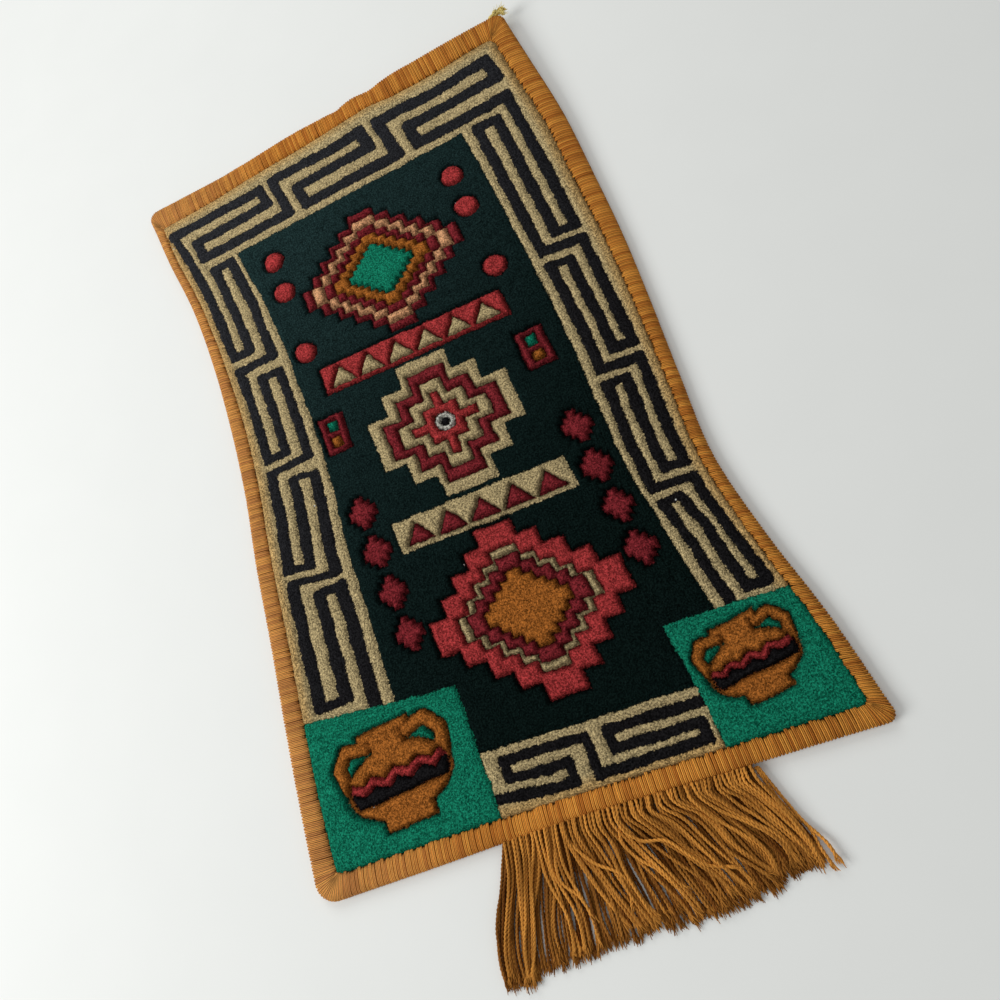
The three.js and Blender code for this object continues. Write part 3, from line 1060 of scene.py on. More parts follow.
class Paint:
    """A material's node tree, with one method that adds any node."""

    def __init__(self, name: str) -> None:
        """Makes the material.

        Args:
            name: Its name.
        """
        self.material = bpy.data.materials.new(name)
        self.material.use_nodes = True
        self.tree = self.material.node_tree
        self.surface = self.tree.nodes["Principled BSDF"]

    def plug(self, node: bpy.types.Node, key: object, value: object) -> None:
        """Links or sets one input of a node.

        Args:
            node: The node.
            key: The input's number, identifier or name.
            value: A Value, a socket, a number or a colour.
        """
        if isinstance(key, int):
            target = node.inputs[key]
        else:
            named = [socket for socket in node.inputs if socket.identifier == key]
            target = named[0] if named else node.inputs[key]
        if isinstance(value, Value):
            self.tree.links.new(value.socket, target)
        elif isinstance(value, bpy.types.NodeSocket):
            self.tree.links.new(value, target)
        else:
            target.default_value = value

    def node(self, kind: str, settings: dict | None = None, inputs: dict | None = None) -> bpy.types.Node:
        """Adds a node.

        Args:
            kind: Its type.
            settings: Its own settings, which are made first.
            inputs: Its inputs, each a value, a link or a number.

        Returns:
            The node.
        """
        node = self.tree.nodes.new(kind)
        for key, value in (settings or {}).items():
            setattr(node, key, value)
        for key, value in (inputs or {}).items():
            self.plug(node, key, value)
        return node

    def value(
        self, kind: str, output: str, settings: dict | None = None, inputs: dict | None = None
    ) -> Value:
        """Adds a node and gives one of its outputs as a value."""
        return Value(self, self.node(kind, settings, inputs).outputs[output])

    def attribute(self, name: str) -> Value:
        """A number stored on the mesh."""
        return self.value("ShaderNodeAttribute", "Fac", {"attribute_name": name})

    def place(self) -> Value:
        """The point's place on the object."""
        return self.value("ShaderNodeTexCoord", "Object")

    def leaning(self, slope: Slope) -> Value:
        """A value that changes steadily over the object, held between 0 and 1."""
        split = self.node("ShaderNodeSeparateXYZ", None, {0: self.place()})
        across = Value(self, split.outputs["X"]) * slope.across
        up = Value(self, split.outputs["Y"]) * slope.up
        return (across + up + slope.middle).rise(0.0, 1.0)

    def noise(self, grain: float, detail: float = 1.0) -> Value:
        """Chance variation about 0.5.

        Args:
            grain: Size of a grain, in metres.
            detail: Finer layers on top of it.

        Returns:
            Values about 0.5.
        """
        scaling = {"Vector": self.place(), "Scale": (1 / grain,) * 3}
        mapping = self.value("ShaderNodeMapping", "Vector", None, scaling)
        inputs = {"Vector": mapping, "Scale": 1.0, "Detail": detail, "Roughness": 0.6}
        return self.value("ShaderNodeTexNoise", "Fac", None, inputs)

    def mix(self, factor: Value, low: object, high: object) -> Value:
        """Mixes two colours.

        Args:
            factor: 0 for low and 1 for high.
            low: A colour or a link.
            high: A colour or a link.

        Returns:
            The mixed colour.
        """
        inputs = {"Factor_Float": factor, "A_Color": low, "B_Color": high}
        node = self.node("ShaderNodeMix", {"data_type": "RGBA"}, inputs)
        return Value(self, next(out for out in node.outputs if out.identifier == "Result_Color"))

    def shade(self, colour: object, amount: Value) -> Value:
        """Multiplies a colour, or a link to one, by a number."""
        node = self.node("ShaderNodeVectorMath", {"operation": "SCALE"}, {0: colour, "Scale": amount})
        return Value(self, node.outputs["Vector"])

    def bump(self, height: Value, depth: float) -> Value:
        """Turns a height from 0 to 1 into a normal.

        Args:
            height: The height.
            depth: What a height of 1 stands for, in metres.

        Returns:
            The normal.
        """
        inputs = {"Height": height, "Distance": depth, "Strength": 1.0}
        return self.value("ShaderNodeBump", "Normal", None, inputs)

    def finish(
        self, colour: Value, roughness: float, normal: Value | None, gloss: float = 0.0
    ) -> bpy.types.Material:
        """Plugs the looks into the surface.

        Args:
            colour: The base colour.
            roughness: The roughness.
            normal: The bumped normal, if any.
            gloss: The specular level.

        Returns:
            The material.
        """
        self.plug(self.surface, "Base Color", colour)
        self.plug(self.surface, "Roughness", roughness)
        self.plug(self.surface, "Specular IOR Level", gloss)
        if normal is not None:
            self.plug(self.surface, "Normal", normal)
        return self.material


def tone(code: str) -> tuple[float, float, float, float]:
    """A colour from its six-digit code, as the linear values that a material takes."""
    parts = [int(code[index : index + 2], 16) / 255 for index in (0, 2, 4)]
    linear = [part / 12.92 if part <= 0.04045 else ((part + 0.055) / 1.055) ** 2.4 for part in parts]
    return (*linear, 1.0)


# ---------------------------------------------------------------- finishes


PILE_TONES = {
    Yarn.GREEN: "0c1715",
    Yarn.BLACK: "191819",
    Yarn.TAN: "ab9970",
    Yarn.EMERALD: "157157",
    Yarn.RED: "76262b",
    Yarn.ROSE: "9c3535",
    Yarn.BROWN: "9a5c26",
    Yarn.PEACH: "c39068",
    Yarn.WHITE: "dcdccf",
}
# Lighter copies of the dark yarns, mixed in towards the top left: painted sheen.
SHEEN_TONES = {Yarn.GREEN: "1f3131", Yarn.BLACK: "2a2b2e"}
MARGIN_TONE = "b0915e"


@dataclass(frozen=True)
class PileFinish:
    """Cut wool pile: each yarn's colour, with speckled fibre ends and ragged changes of colour.

    The dark yarns are painted lighter towards the top left, a painted sheen, and the whole pile is painted
    brighter there and darker towards the bottom right; the outermost rows of tan are a yellower yarn.
    """

    name: str = "cut_pile"
    under: str = "14130f"
    ragged: float = 1.4
    edge: float = 0.28
    roughness: float = 1.0
    tuft: float = 0.00095
    fibre: float = 0.0004
    glint: float = 1.6
    patch: float = 0.006
    clip: float = 0.0003
    end_light: float = 0.84
    fibre_light: float = 0.46
    patch_light: float = 0.2
    glint_light: float = 0.56
    least_light: float = 0.14
    # Painted light: the slope below makes the dark yarns lighter and the whole pile brighter towards the
    # top left, and darker towards the bottom right.
    worn: Slope = Slope(-1.6, 2.0, 0.3)
    worn_light: float = 0.2
    fresh_light: float = 0.94
    carved_shade: float = 0.6
    fluff: str = "e4e6e2"
    fluff_cover: float = 0.8
    fluff_spacing: float = 0.014

    def make(self) -> bpy.types.Material:
        """Builds the material."""
        paint = Paint(self.name)
        tufts = paint.noise(self.tuft, 1.0)
        fibres = paint.noise(self.fibre, 1.0)
        ragged = (tufts + fibres - 1.0) * self.ragged
        worn = paint.leaning(self.worn)
        # The mix starts from a near-black colour that shows where yarns meet: painted shade at each change
        # of colour.
        colour = tone(self.under)
        for yarn in Yarn:
            here = (paint.attribute(yarn.value) + ragged).rise(-self.edge, self.edge)
            dye = tone(PILE_TONES[yarn])
            if yarn in SHEEN_TONES:
                dye = paint.mix(worn, dye, tone(SHEEN_TONES[yarn]))
            if yarn is Yarn.TAN:
                dye = paint.mix(paint.attribute("margin"), dye, tone(MARGIN_TONE))
            colour = paint.mix(here, colour, dye)
        ends = tufts.rise(0.34, 0.66)
        patches = paint.noise(self.patch, 2.0).rise(0.3, 0.7)
        glint = paint.noise(self.fibre * self.glint, 0.0).rise(0.58, 0.72)
        speckle = (
            ends * self.end_light
            + fibres.rise(0.3, 0.7) * self.fibre_light
            + patches * self.patch_light
            + glint * self.glint_light
            + self.least_light
        )
        # Painted light: the pile is brighter towards the top left and darker towards the bottom right.
        speckle = speckle * (worn * self.worn_light + self.fresh_light)
        # Painted shade in the carved grooves round the motifs and in the valley beside the binding.
        colour = paint.shade(colour, speckle * (1.0 - paint.attribute("carved") * self.carved_shade))
        colour = paint.mix(self.lint(paint) * self.fluff_cover, colour, tone(self.fluff))
        return paint.finish(colour, self.roughness, paint.bump(ends + fibres, self.clip))

    def lint(self, paint: Paint) -> Value:
        """A few pale specks of fluff.

        Args:
            paint: The material's nodes.

        Returns:
            1 on a speck and 0 elsewhere.
        """
        inputs = {"Vector": paint.place(), "Scale": 1 / self.fluff_spacing}
        cells = paint.node("ShaderNodeTexVoronoi", None, inputs)
        split = paint.node("ShaderNodeSeparateXYZ", None, {0: cells.outputs["Color"]})
        chosen = Value(paint, split.outputs["X"]).rise(0.78, 0.8)
        near = (Value(paint, cells.outputs["Distance"]) * -1.0 + 0.045).rise(0.0, 0.02)
        return near * chosen


@dataclass(frozen=True)
class BackFinish:
    """The cloth's back: rows of knots in the pile's colours, a little duller."""

    name: str = "knotted_back"
    ground: str = "4a3d28"
    row: float = 0.0021
    stitch: float = 0.0017
    ragged: float = 1.2
    edge: float = 0.3
    cover: float = 0.85
    tuft: float = 0.0012
    fibre: float = 0.0004
    row_height: float = 0.6
    knot_height: float = 0.25
    fibre_height: float = 0.3
    relief: float = 0.0005

    def make(self) -> bpy.types.Material:
        """Builds the material."""
        paint = Paint(self.name)
        ragged = (paint.noise(self.tuft) - 0.5) * self.ragged
        colour = tone(self.ground)
        for yarn in Yarn:
            here = (paint.attribute(yarn.value) + ragged).rise(-self.edge, self.edge)
            colour = paint.mix(here * self.cover, colour, tone(PILE_TONES[yarn]))
        split = paint.node("ShaderNodeSeparateXYZ", None, {0: paint.place()})
        across = Value(paint, split.outputs["X"])
        up = Value(paint, split.outputs["Y"])
        rows = (up * (2 * math.pi / self.row)).math("SINE") * 0.5 + 0.5
        knots = (across * (2 * math.pi / self.stitch)).math("SINE") * 0.5 + 0.5
        grain = paint.noise(self.fibre, 2.0)
        weave = rows * self.row_height + knots * self.knot_height + grain * self.fibre_height
        # Painted shade: the low parts of the weave are darker, between the rows and the knots.
        colour = paint.shade(colour, weave * 0.7 + 0.5)
        return paint.finish(colour, 1.0, paint.bump(weave, self.relief))


@dataclass(frozen=True)
class YarnFinish:
    """Wool yarn: a tint for each strand, fine fibres and painted shade on the flanks of each strand.

    paler is how much lighter and brighter the yarn is painted at the left edge than at the right one, as
    painted light from the lamps on the left, and groove is how much darker the line between the two threads
    of a strand is painted, as painted shade in that crease, which also deepens its bump. The flanks are the
    shares of a strand's half width over which each begins.
    """

    name: str
    light: str
    dark: str
    hollow: float = 0.4
    paler: float = 0.0
    groove: float = 0.0
    groove_depth: float = 4.0
    groove_gain: float = 0.2
    groove_flank: Point = (0.04, 0.34)
    hollow_flank: Point = (0.55, 1.0)
    fibre_light: float = 0.4
    patch_light: float = 0.16
    least_light: float = 0.72
    pale: str = "c8a070"
    pale_share: float = 0.3
    bright_gain: float = 0.25
    bright_drop: float = 0.15
    pale_slope: Slope = Slope(-10.0, 0.0, -0.35)
    bright_slope: Slope = Slope(-6.0, 0.0, 0.9)
    fibre: float = 0.00022
    patch: float = 0.009
    relief: float = 0.00012
    roughness: float = 0.75
    gloss: float = 0.06

    def make(self) -> bpy.types.Material:
        """Builds the material."""
        paint = Paint(self.name)
        tint = paint.attribute("tint")
        colour = paint.mix(tint, tone(self.dark), tone(self.light))
        # Painted light: lighter and brighter towards the left edge, which faces the lamps, and darker
        # towards the right.
        pale = paint.leaning(self.pale_slope) * self.paler
        painted_brightness = paint.leaning(self.bright_slope) * self.paler
        colour = paint.mix(pale * self.pale_share, colour, tone(self.pale))
        colour = paint.shade(colour, painted_brightness * self.bright_gain + (1.0 - self.paler * self.bright_drop))
        fibres = paint.noise(self.fibre, 2.0).rise(0.25, 0.75)
        patches = paint.noise(self.patch, 2.0).rise(0.3, 0.7)
        flank = paint.attribute("flank")
        # Painted shade on the flanks of each strand, where it meets the next.
        hollow = flank.rise(*self.hollow_flank)
        middle = 1.0 - flank.rise(*self.groove_flank)
        light = fibres * self.fibre_light + patches * self.patch_light + self.least_light
        colour = paint.shade(colour, light * (1.0 - hollow * self.hollow))
        # Painted shade in the crease between the two threads of a strand, beside its bump.
        colour = paint.shade(colour, 1.0 + self.groove * self.groove_gain - middle * self.groove)
        height = fibres - middle * (self.groove * self.groove_depth)
        return paint.finish(colour, self.roughness, paint.bump(height, self.relief), self.gloss)


BINDING_YARN = YarnFinish("binding_yarn", "e89f44", "bd722c", 0.6, paler=1.0, groove=0.8)
# The padding's dark brown shows between the stitches: painted shade in the gaps between them.
SHADED_PADDING_YARN = YarnFinish("padding_yarn", "7d4614", "7d4614")
# Its dark tone colours the lower fringe layers: painted shade under the strands over them.
FRINGE_YARN = YarnFinish("fringe_yarn", "e09a44", "5f300d", 0.42)
LOOSE_YARN = YarnFinish("loose_yarn", "eddc90", "cdae58", 0.2)


@dataclass(frozen=True)
class FloorFinish:
    """A plain pale surface."""

    name: str = "pale_floor"
    colour: str = "e7e9e6"
    grain: float = 0.05
    grain_light: float = 0.03
    least_light: float = 0.985
    roughness: float = 0.8

    def make(self) -> bpy.types.Material:
        """Builds the material."""
        paint = Paint(self.name)
        faint = paint.noise(self.grain, 2.0)
        colour = paint.shade(tone(self.colour)[:3], faint * self.grain_light + self.least_light)
        return paint.finish(colour, self.roughness, None)


# ---------------------------------------------------------------- meshes


SOFT_ARRAYS = 9


def put_in_scene(name: str, data: bpy.types.ID) -> bpy.types.Object:
    """Makes an object of a mesh, a lamp or a camera, and links it into the scene."""
    thing = bpy.data.objects.new(name, data)
    bpy.context.scene.collection.objects.link(thing)
    return thing


def store_numbers(mesh: bpy.types.Mesh, numbers: dict[str, np.ndarray]) -> None:
    """Stores values for each vertex of a mesh, under their names."""
    for key, values in numbers.items():
        attribute = mesh.attributes.new(key, "FLOAT", "POINT")
        attribute.data.foreach_set("value", np.asarray(values, np.float32).ravel())


def mesh_piece(
    name: str,
    points: np.ndarray,
    faces: list[np.ndarray],
    material: bpy.types.Material,
    numbers: dict[str, np.ndarray] | None = None,
    soft: int = SOFT_ARRAYS,
) -> bpy.types.Object:
    """Makes an object from points and faces.

    Args:
        name: Its name.
        points: Its vertices, in metres.
        faces: Arrays of vertex numbers, each for faces with the same number of corners.
        material: Its material.
        numbers: Values for each vertex that the material reads, by name.
        soft: How many of the arrays of faces, from the first, are shaded smooth.

    Returns:
        The object, at the origin.
    """
    mesh = bpy.data.meshes.new(name)
    corners = np.concatenate([array.ravel() for array in faces]).astype(np.int32)
    totals = np.concatenate([np.full(len(array), array.shape[1]) for array in faces]).astype(np.int32)
    starts = np.concatenate([[0], np.cumsum(totals)[:-1]]).astype(np.int32)
    mesh.vertices.add(len(points))
    mesh.vertices.foreach_set("co", np.asarray(points, np.float32).ravel())
    mesh.loops.add(len(corners))
    mesh.loops.foreach_set("vertex_index", corners)
    mesh.polygons.add(len(totals))
    mesh.polygons.foreach_set("loop_start", starts)
    mesh.polygons.foreach_set("loop_total", totals)
    mesh.update(calc_edges=True)
    smooth = np.concatenate([np.full(len(array), index < soft) for index, array in enumerate(faces)])
    mesh.polygons.foreach_set("use_smooth", smooth)
    store_numbers(mesh, numbers or {})
    mesh.materials.append(material)
    return put_in_scene(name, mesh)


def grid_faces(rows: int, columns: int, first: int = 0, turned: bool = False) -> np.ndarray:
    """The squares of a grid of points that is stored row by row.

    Args:
        rows: Rows of points.
        columns: Points in a row.
        first: Number of the grid's first point.
        turned: Whether the faces look the other way.

    Returns:
        Four vertex numbers for each square.
    """
    corner = (np.arange(rows - 1)[:, None] * columns + np.arange(columns - 1)[None, :]).ravel() + first
    quads = np.stack([corner, corner + 1, corner + columns + 1, corner + columns], axis=1)
    return quads[:, ::-1] if turned else quads


def grid_rim(rows: int, columns: int) -> np.ndarray:
    """The numbers of a grid's outer points, anticlockwise from its first."""
    number = np.arange(rows * columns).reshape(rows, columns)
    return np.concatenate([number[0, :-1], number[:-1, -1], number[-1, :0:-1], number[:0:-1, 0]])


# ---------------------------------------------------------------- yarn by geometry nodes


@dataclass
class Guide:
    """The middle line of one strand of yarn, in metres, its radius at each point and its tint."""

    points: np.ndarray
    radius: np.ndarray
    tint: float


class YarnWinder:
    """Turns guide lines into strands of yarn with a tree of geometry nodes."""

    def __init__(self) -> None:
        """Builds the tree, with the number of sides and the material as its inputs."""
        tree = bpy.data.node_groups.new("wind_yarn", "GeometryNodeTree")
        face = tree.interface
        face.new_socket("Guides", in_out="INPUT", socket_type="NodeSocketGeometry")
        self.sides = face.new_socket("Sides", in_out="INPUT", socket_type="NodeSocketInt").identifier
        self.yarn = face.new_socket("Yarn", in_out="INPUT", socket_type="NodeSocketMaterial").identifier
        face.new_socket("Strands", in_out="OUTPUT", socket_type="NodeSocketGeometry")
        self.tree = tree
        inputs = tree.nodes.new("NodeGroupInput")
        output = tree.nodes.new("NodeGroupOutput")
        curves = self.add("GeometryNodeMeshToCurve", Mesh=inputs.outputs["Guides"])
        girth = self.add("GeometryNodeInputNamedAttribute")
        girth.inputs["Name"].default_value = "girth"
        profile = self.add("GeometryNodeCurvePrimitiveCircle", Resolution=inputs.outputs["Sides"])
        profile.inputs["Radius"].default_value = 1.0
        position = self.add("GeometryNodeInputPosition")
        place = self.add("ShaderNodeSeparateXYZ", Vector=position.outputs["Position"])
        sideways = self.add("ShaderNodeMath", Value=place.outputs["X"])
        sideways.operation = "ABSOLUTE"
        ring = self.add("GeometryNodeStoreNamedAttribute", Geometry=profile.outputs["Curve"])
        ring.inputs["Name"].default_value = "flank"
        tree.links.new(sideways.outputs["Value"], ring.inputs["Value"])
        tube = self.add(
            "GeometryNodeCurveToMesh",
            Curve=curves.outputs["Curve"],
            Profile_Curve=ring.outputs["Geometry"],
            Scale=girth.outputs["Attribute"],
        )
        tube.inputs["Fill Caps"].default_value = True
        smooth = self.add("GeometryNodeSetShadeSmooth", Geometry=tube.outputs["Mesh"])
        real = self.add("GeometryNodeRealizeInstances", Geometry=smooth.outputs["Geometry"])
        dyed = self.add(
            "GeometryNodeSetMaterial", Geometry=real.outputs["Geometry"], Material=inputs.outputs["Yarn"]
        )
        tree.links.new(dyed.outputs["Geometry"], output.inputs["Strands"])

    def add(self, kind: str, **links: bpy.types.NodeSocket) -> bpy.types.Node:
        """Adds a node and links its inputs.

        Args:
            kind: Its type.
            links: A socket for each input, by the input's name with _ for a space.

        Returns:
            The node.
        """
        node = self.tree.nodes.new(kind)
        for name, socket in links.items():
            self.tree.links.new(socket, node.inputs[name.replace("_", " ")])
        return node

    def wind(
        self, name: str, guides: list[Guide], sides: int, material: bpy.types.Material
    ) -> bpy.types.Object:
        """Makes one piece of all the strands.

        Args:
            name: The piece's name.
            guides: The strands' guides.
            sides: Sides of a strand's section.
            material: Its yarn.

        Returns:
            The piece, as a plain mesh.
        """
        points = np.concatenate([guide.points for guide in guides])
        girth = np.concatenate([guide.radius for guide in guides])
        tint = np.concatenate([np.full(len(guide.points), guide.tint) for guide in guides])
        starts = np.cumsum([0] + [len(guide.points) for guide in guides])
        edges = np.concatenate(
            [
                np.stack([np.arange(low, high - 1), np.arange(low + 1, high)], axis=1)
                for low, high in zip(starts, starts[1:])
            ]
        )
        mesh = bpy.data.meshes.new(name + "_guides")
        mesh.vertices.add(len(points))
        mesh.vertices.foreach_set("co", points.astype(np.float32).ravel())
        mesh.edges.add(len(edges))
        mesh.edges.foreach_set("vertices", edges.astype(np.int32).ravel())
        store_numbers(mesh, {"girth": girth, "tint": tint})
        source = put_in_scene(name + "_source", mesh)
        modifier = source.modifiers.new("wind", "NODES")
        modifier.node_group = self.tree
        modifier[self.sides] = sides
        modifier[self.yarn] = material
        depsgraph = bpy.context.evaluated_depsgraph_get()
        strands = bpy.data.meshes.new_from_object(source.evaluated_get(depsgraph), depsgraph=depsgraph)
        source.modifiers.clear()
        bpy.data.objects.remove(source)
        strands.name = name
        return put_in_scene(name, strands)


CURVE_STEPS = 12
FEWEST_POINTS = 4
SHORTEST_SIDE = 1e-9


def distance_along(line: np.ndarray) -> np.ndarray:
    """How far along a line each of its points is."""
    runs = np.linalg.norm(np.diff(line, axis=0), axis=1)
    return np.concatenate([[0], np.cumsum(runs)])


def smooth_line(points: np.ndarray, step: float) -> np.ndarray:
    """A smooth line through points, with points a fixed step apart.

    Args:
        points: The points that it runs through.
        step: The distance between two of the new points, in the same unit.

    Returns:
        The new points.
    """
    ends = [2 * points[0] - points[1], *points, 2 * points[-1] - points[-2]]
    padded = np.array(ends)
    t = np.linspace(0, 1, CURVE_STEPS, endpoint=False)[:, None]
    dense = []
    for index in range(len(points) - 1):
        a, b, c, d = padded[index : index + 4]
        square = 2 * a - 5 * b + 4 * c - d
        cube = 3 * b - a - 3 * c + d
        dense.append(0.5 * (2 * b + (c - a) * t + square * t**2 + cube * t**3))
    line = np.concatenate([*dense, points[-1:]])
    travelled = distance_along(line)
    count = max(FEWEST_POINTS, round(travelled[-1] / step) + 1)
    at = np.linspace(0, travelled[-1], count)
    return np.stack([np.interp(at, travelled, line[:, axis]) for axis in range(3)], axis=1)


def plied(
    line: np.ndarray, ply: float, pitch: float, phase: float, radius: np.ndarray, tint: float
) -> list[Guide]:
    """Two plies twisted round one line.

    Args:
        line: The strand's middle line, in metres.
        ply: Distance of each ply's middle from it.
        pitch: Length of one full twist.
        phase: Where the twist starts, in radians.
        radius: Radius of a ply at each point.
        tint: The strand's tint.

    Returns:
        A guide for each ply.
    """
    heading = np.gradient(line, axis=0)
    heading /= np.linalg.norm(heading, axis=1)[:, None]
    sideways = np.cross([0.0, 0.0, 1.0], heading)
    sideways /= np.maximum(np.linalg.norm(sideways, axis=1), SHORTEST_SIDE)[:, None]
    upwards = np.cross(heading, sideways)
    angle = (distance_along(line) * 2 * math.pi / pitch + phase)[:, None]
    swing = (sideways * np.cos(angle) + upwards * np.sin(angle)) * ply
    return [Guide(line + swing, radius, tint), Guide(line - swing, radius, tint)]


# ---------------------------------------------------------------- the pile and its cloth


@dataclass(frozen=True)
class PileLevels:
    """Heights of the pile over the underside and how far each reaches, in mm.

    Beside the binding it is pressed down further in at the top right, between the two places of pressed_x
    and of pressed_y. broad and fine are the height and the length of its chance unevenness.
    """

    cloth_top: float = 1.4
    low: float = 4.7
    shoulder_reach: float = 0.7
    pillow: float = 0.6
    pillow_reach: float = 2.6
    groove: float = 1.7
    edge_drop: float = 1.8
    edge_reach: float = 1.5
    # How far in and how strongly the pile's colour is darkened beside the binding: painted shade in that
    # valley.
    carved_reach: float = 1.3
    carved_depth: float = 0.8
    pressed_x: Point = (30, 110)
    pressed_y: Point = (40, 170)
    pressed_reach: float = 1.7
    under_binding: float = 0.2
    broad: tuple[Point, Point] = ((0.16, 24), (0.08, 6))
    ripple_shift: float = 50
    fine: Point = (0.12, 1.7)
    tuft: float = 0.2


YARN_LIFT = {
    Yarn.GREEN: 0.62,
    Yarn.BLACK: 0.5,
    Yarn.TAN: 0.8,
    Yarn.EMERALD: 0.75,
    Yarn.RED: 0.95,
    Yarn.ROSE: 1.0,
    Yarn.BROWN: 1.0,
    Yarn.PEACH: 0.95,
    Yarn.WHITE: 1.0,
}


@dataclass(frozen=True)
class Patch:
    """A part of the pile that is a piece of its own, by its columns and rows of cells, in shares."""

    name: str
    columns: Point
    rows: Point

    @staticmethod
    def between(shares: Point, count: int) -> slice:
        """The numbers of the points between two shares of a row of so many points."""
        low, high = (round(share * (count - 1)) for share in shares)
        return slice(low, high + 1)


PATCHES = (
    Patch("pile_square_left", (0.0, 0.345), (0.0, 0.155)),
    Patch("pile_border_bottom", (0.345, 0.757), (0.0, 0.075)),
    Patch("pile_square_right", (0.757, 1.0), (0.0, 0.155)),
    Patch("pile_field_foot", (0.345, 0.757), (0.075, 0.155)),
    Patch("pile_border_left", (0.0, 0.19), (0.155, 0.885)),
    Patch("pile_field", (0.19, 0.83), (0.155, 0.885)),
    Patch("pile_border_right", (0.83, 1.0), (0.155, 0.885)),
    Patch("pile_border_top", (0.0, 1.0), (0.885, 1.0)),
)


@dataclass
class PilePanel:
    """The woven base cloth and the cut pile on it.

    face is about the pile's width and height, a cell the distance between two points of a surface, and
    margin how far in the yellower yarn stops, all in mm.
    """

    lay: Lay
    face: Point = (250, 418)
    face_inset: float = 0.1
    cell: float = 0.75
    cloth_cell: float = 3.6
    cloth_inset: float = 3.3
    cloth_lift: float = 1.5
    cloth_lift_reach: float = 3.0
    margin: Point = (3.0, 9.0)
    scatter: float = 0.24
    levels: PileLevels = PileLevels()

    def valley(self, x: np.ndarray, y: np.ndarray, to_edge: np.ndarray, reach: float) -> np.ndarray:
        """How far the pile is pressed down beside the binding, and further in at the top right.

        Args:
            x: Places across the cloth as it lies, in mm.
            y: Places up it.
            to_edge: Distance to the binding.
            reach: How far in it goes elsewhere.

        Returns:
            1 at the binding and 0 where it stands free.
        """
        levels = self.levels
        pressed = soft_step(x, *levels.pressed_x) * soft_step(y, *levels.pressed_y)
        reach = reach + levels.pressed_reach * pressed
        return np.exp(-((np.maximum(to_edge, 0) / reach) ** 2))

    def heights(self, chart: Chart, x: np.ndarray, y: np.ndarray, to_edge: np.ndarray) -> np.ndarray:
        """Height of the pile's face at each point.

        Args:
            chart: The pattern there.
            x: Places across the cloth as it lies, in mm.
            y: Places up it.
            to_edge: Distance to the binding.

        Returns:
            Heights over the underside, in mm.
        """
        levels = self.levels
        free = np.maximum(to_edge + levels.under_binding, 0)
        distance = np.minimum(chart.edge_distance(), free)
        insides = np.stack([chart.inside[yarn] for yarn in Yarn])
        lifts = np.array([YARN_LIFT[yarn] for yarn in Yarn])[np.argmax(insides, axis=0)]
        shoulder = 1 - np.exp(-((distance / levels.shoulder_reach) ** 2))
        crown = 1 - np.exp(-distance / levels.pillow_reach)
        height = levels.low + lifts * shoulder + levels.pillow * crown
        height -= levels.groove * chart.carved()
        height -= levels.edge_drop * self.valley(x, y, to_edge, levels.edge_reach)
        broad = Unevenness(21)
        fine = Unevenness(22)
        (roll, roll_run), (ripple, ripple_run) = levels.broad
        rolls = roll * broad.over(x, y, roll_run)
        ripples = ripple * broad.over(x + levels.ripple_shift, y, ripple_run)
        height += rolls + ripples
        height += levels.fine[0] * fine.over(x, y, levels.fine[1])
        chance = np.random.default_rng(23).uniform(-1, 1, height.shape)
        return height + levels.tuft * chance

    def patch(
        self,
        patch: Patch,
        points: np.ndarray,
        floor: np.ndarray,
        numbers: dict[str, np.ndarray],
        pile: bpy.types.Material,
    ) -> bpy.types.Object:
        """Makes one closed piece of the pile.

        Args:
            patch: Which part.
            points: The whole face, by row and column, in metres.
            floor: The cloth's top under each point.
            numbers: The pattern at each point.
            pile: The material.

        Returns:
            The piece.
        """
        rows = patch.between(patch.rows, points.shape[0])
        columns = patch.between(patch.columns, points.shape[1])
        face = points[rows, columns]
        under = face.copy()
        under[..., 2] = floor[rows, columns]
        high, wide = face.shape[:2]
        rim = grid_rim(high, wide)
        lower = np.arange(len(rim)) + high * wide
        wall = np.stack([rim, lower, np.roll(lower, -1), np.roll(rim, -1)], axis=1)
        vertices = np.concatenate([face.reshape(-1, 3), under.reshape(-1, 3)[rim]])
        values = {}
        for key, value in numbers.items():
            flat = value[rows, columns].ravel()
            values[key] = np.concatenate([flat, flat[rim]])
        faces = [grid_faces(high, wide), wall, lower[::-1][None, :]]
        return mesh_piece(patch.name, vertices, faces, pile, values, 1)

    def spread(self, size: Point, cell: float, share: float, inset: float) -> np.ndarray:
        """A grid of points over the cloth inside its moved-in edges.

        Args:
            size: About its width and its height, in mm.
            cell: About the distance between two points, in mm.
            share: Share of the binding's width that the edges are moved in by.
            inset: Further distance that they are moved in, in mm.

        Returns:
            Points of the straight cloth by row and column, in mm.
        """
        across = np.linspace(0, 1, round(size[0] / cell) + 1)
        up = np.linspace(0, 1, round(size[1] / cell) + 1)
        b, a = np.meshgrid(up, across, indexing="ij")
        return self.lay.inside(a, b, share, inset)

    def pile_pieces(self) -> list[bpy.types.Object]:
        """The cut pile, in pieces that meet edge to edge."""
        lay = self.lay
        straight = self.spread(self.face, self.cell, 1.0, self.face_inset)
        chance = np.random.default_rng(24)
        scatter = chance.uniform(-self.scatter, self.scatter, straight.shape)
        flat = lay.lie(straight[..., 0] + scatter[..., 0], straight[..., 1] + scatter[..., 1])
        x, y = flat[..., 0], flat[..., 1]
        chart = Chart(x, y)
        chart.draw()
        to_edge = lay.to_edge(straight[..., 0], straight[..., 1])
        points = lay.in_frame(flat, self.heights(chart, x, y, to_edge))
        floor = lay.in_frame(flat, self.levels.cloth_top)[..., 2]
        numbers = {yarn.value: chart.inside[yarn] for yarn in Yarn}
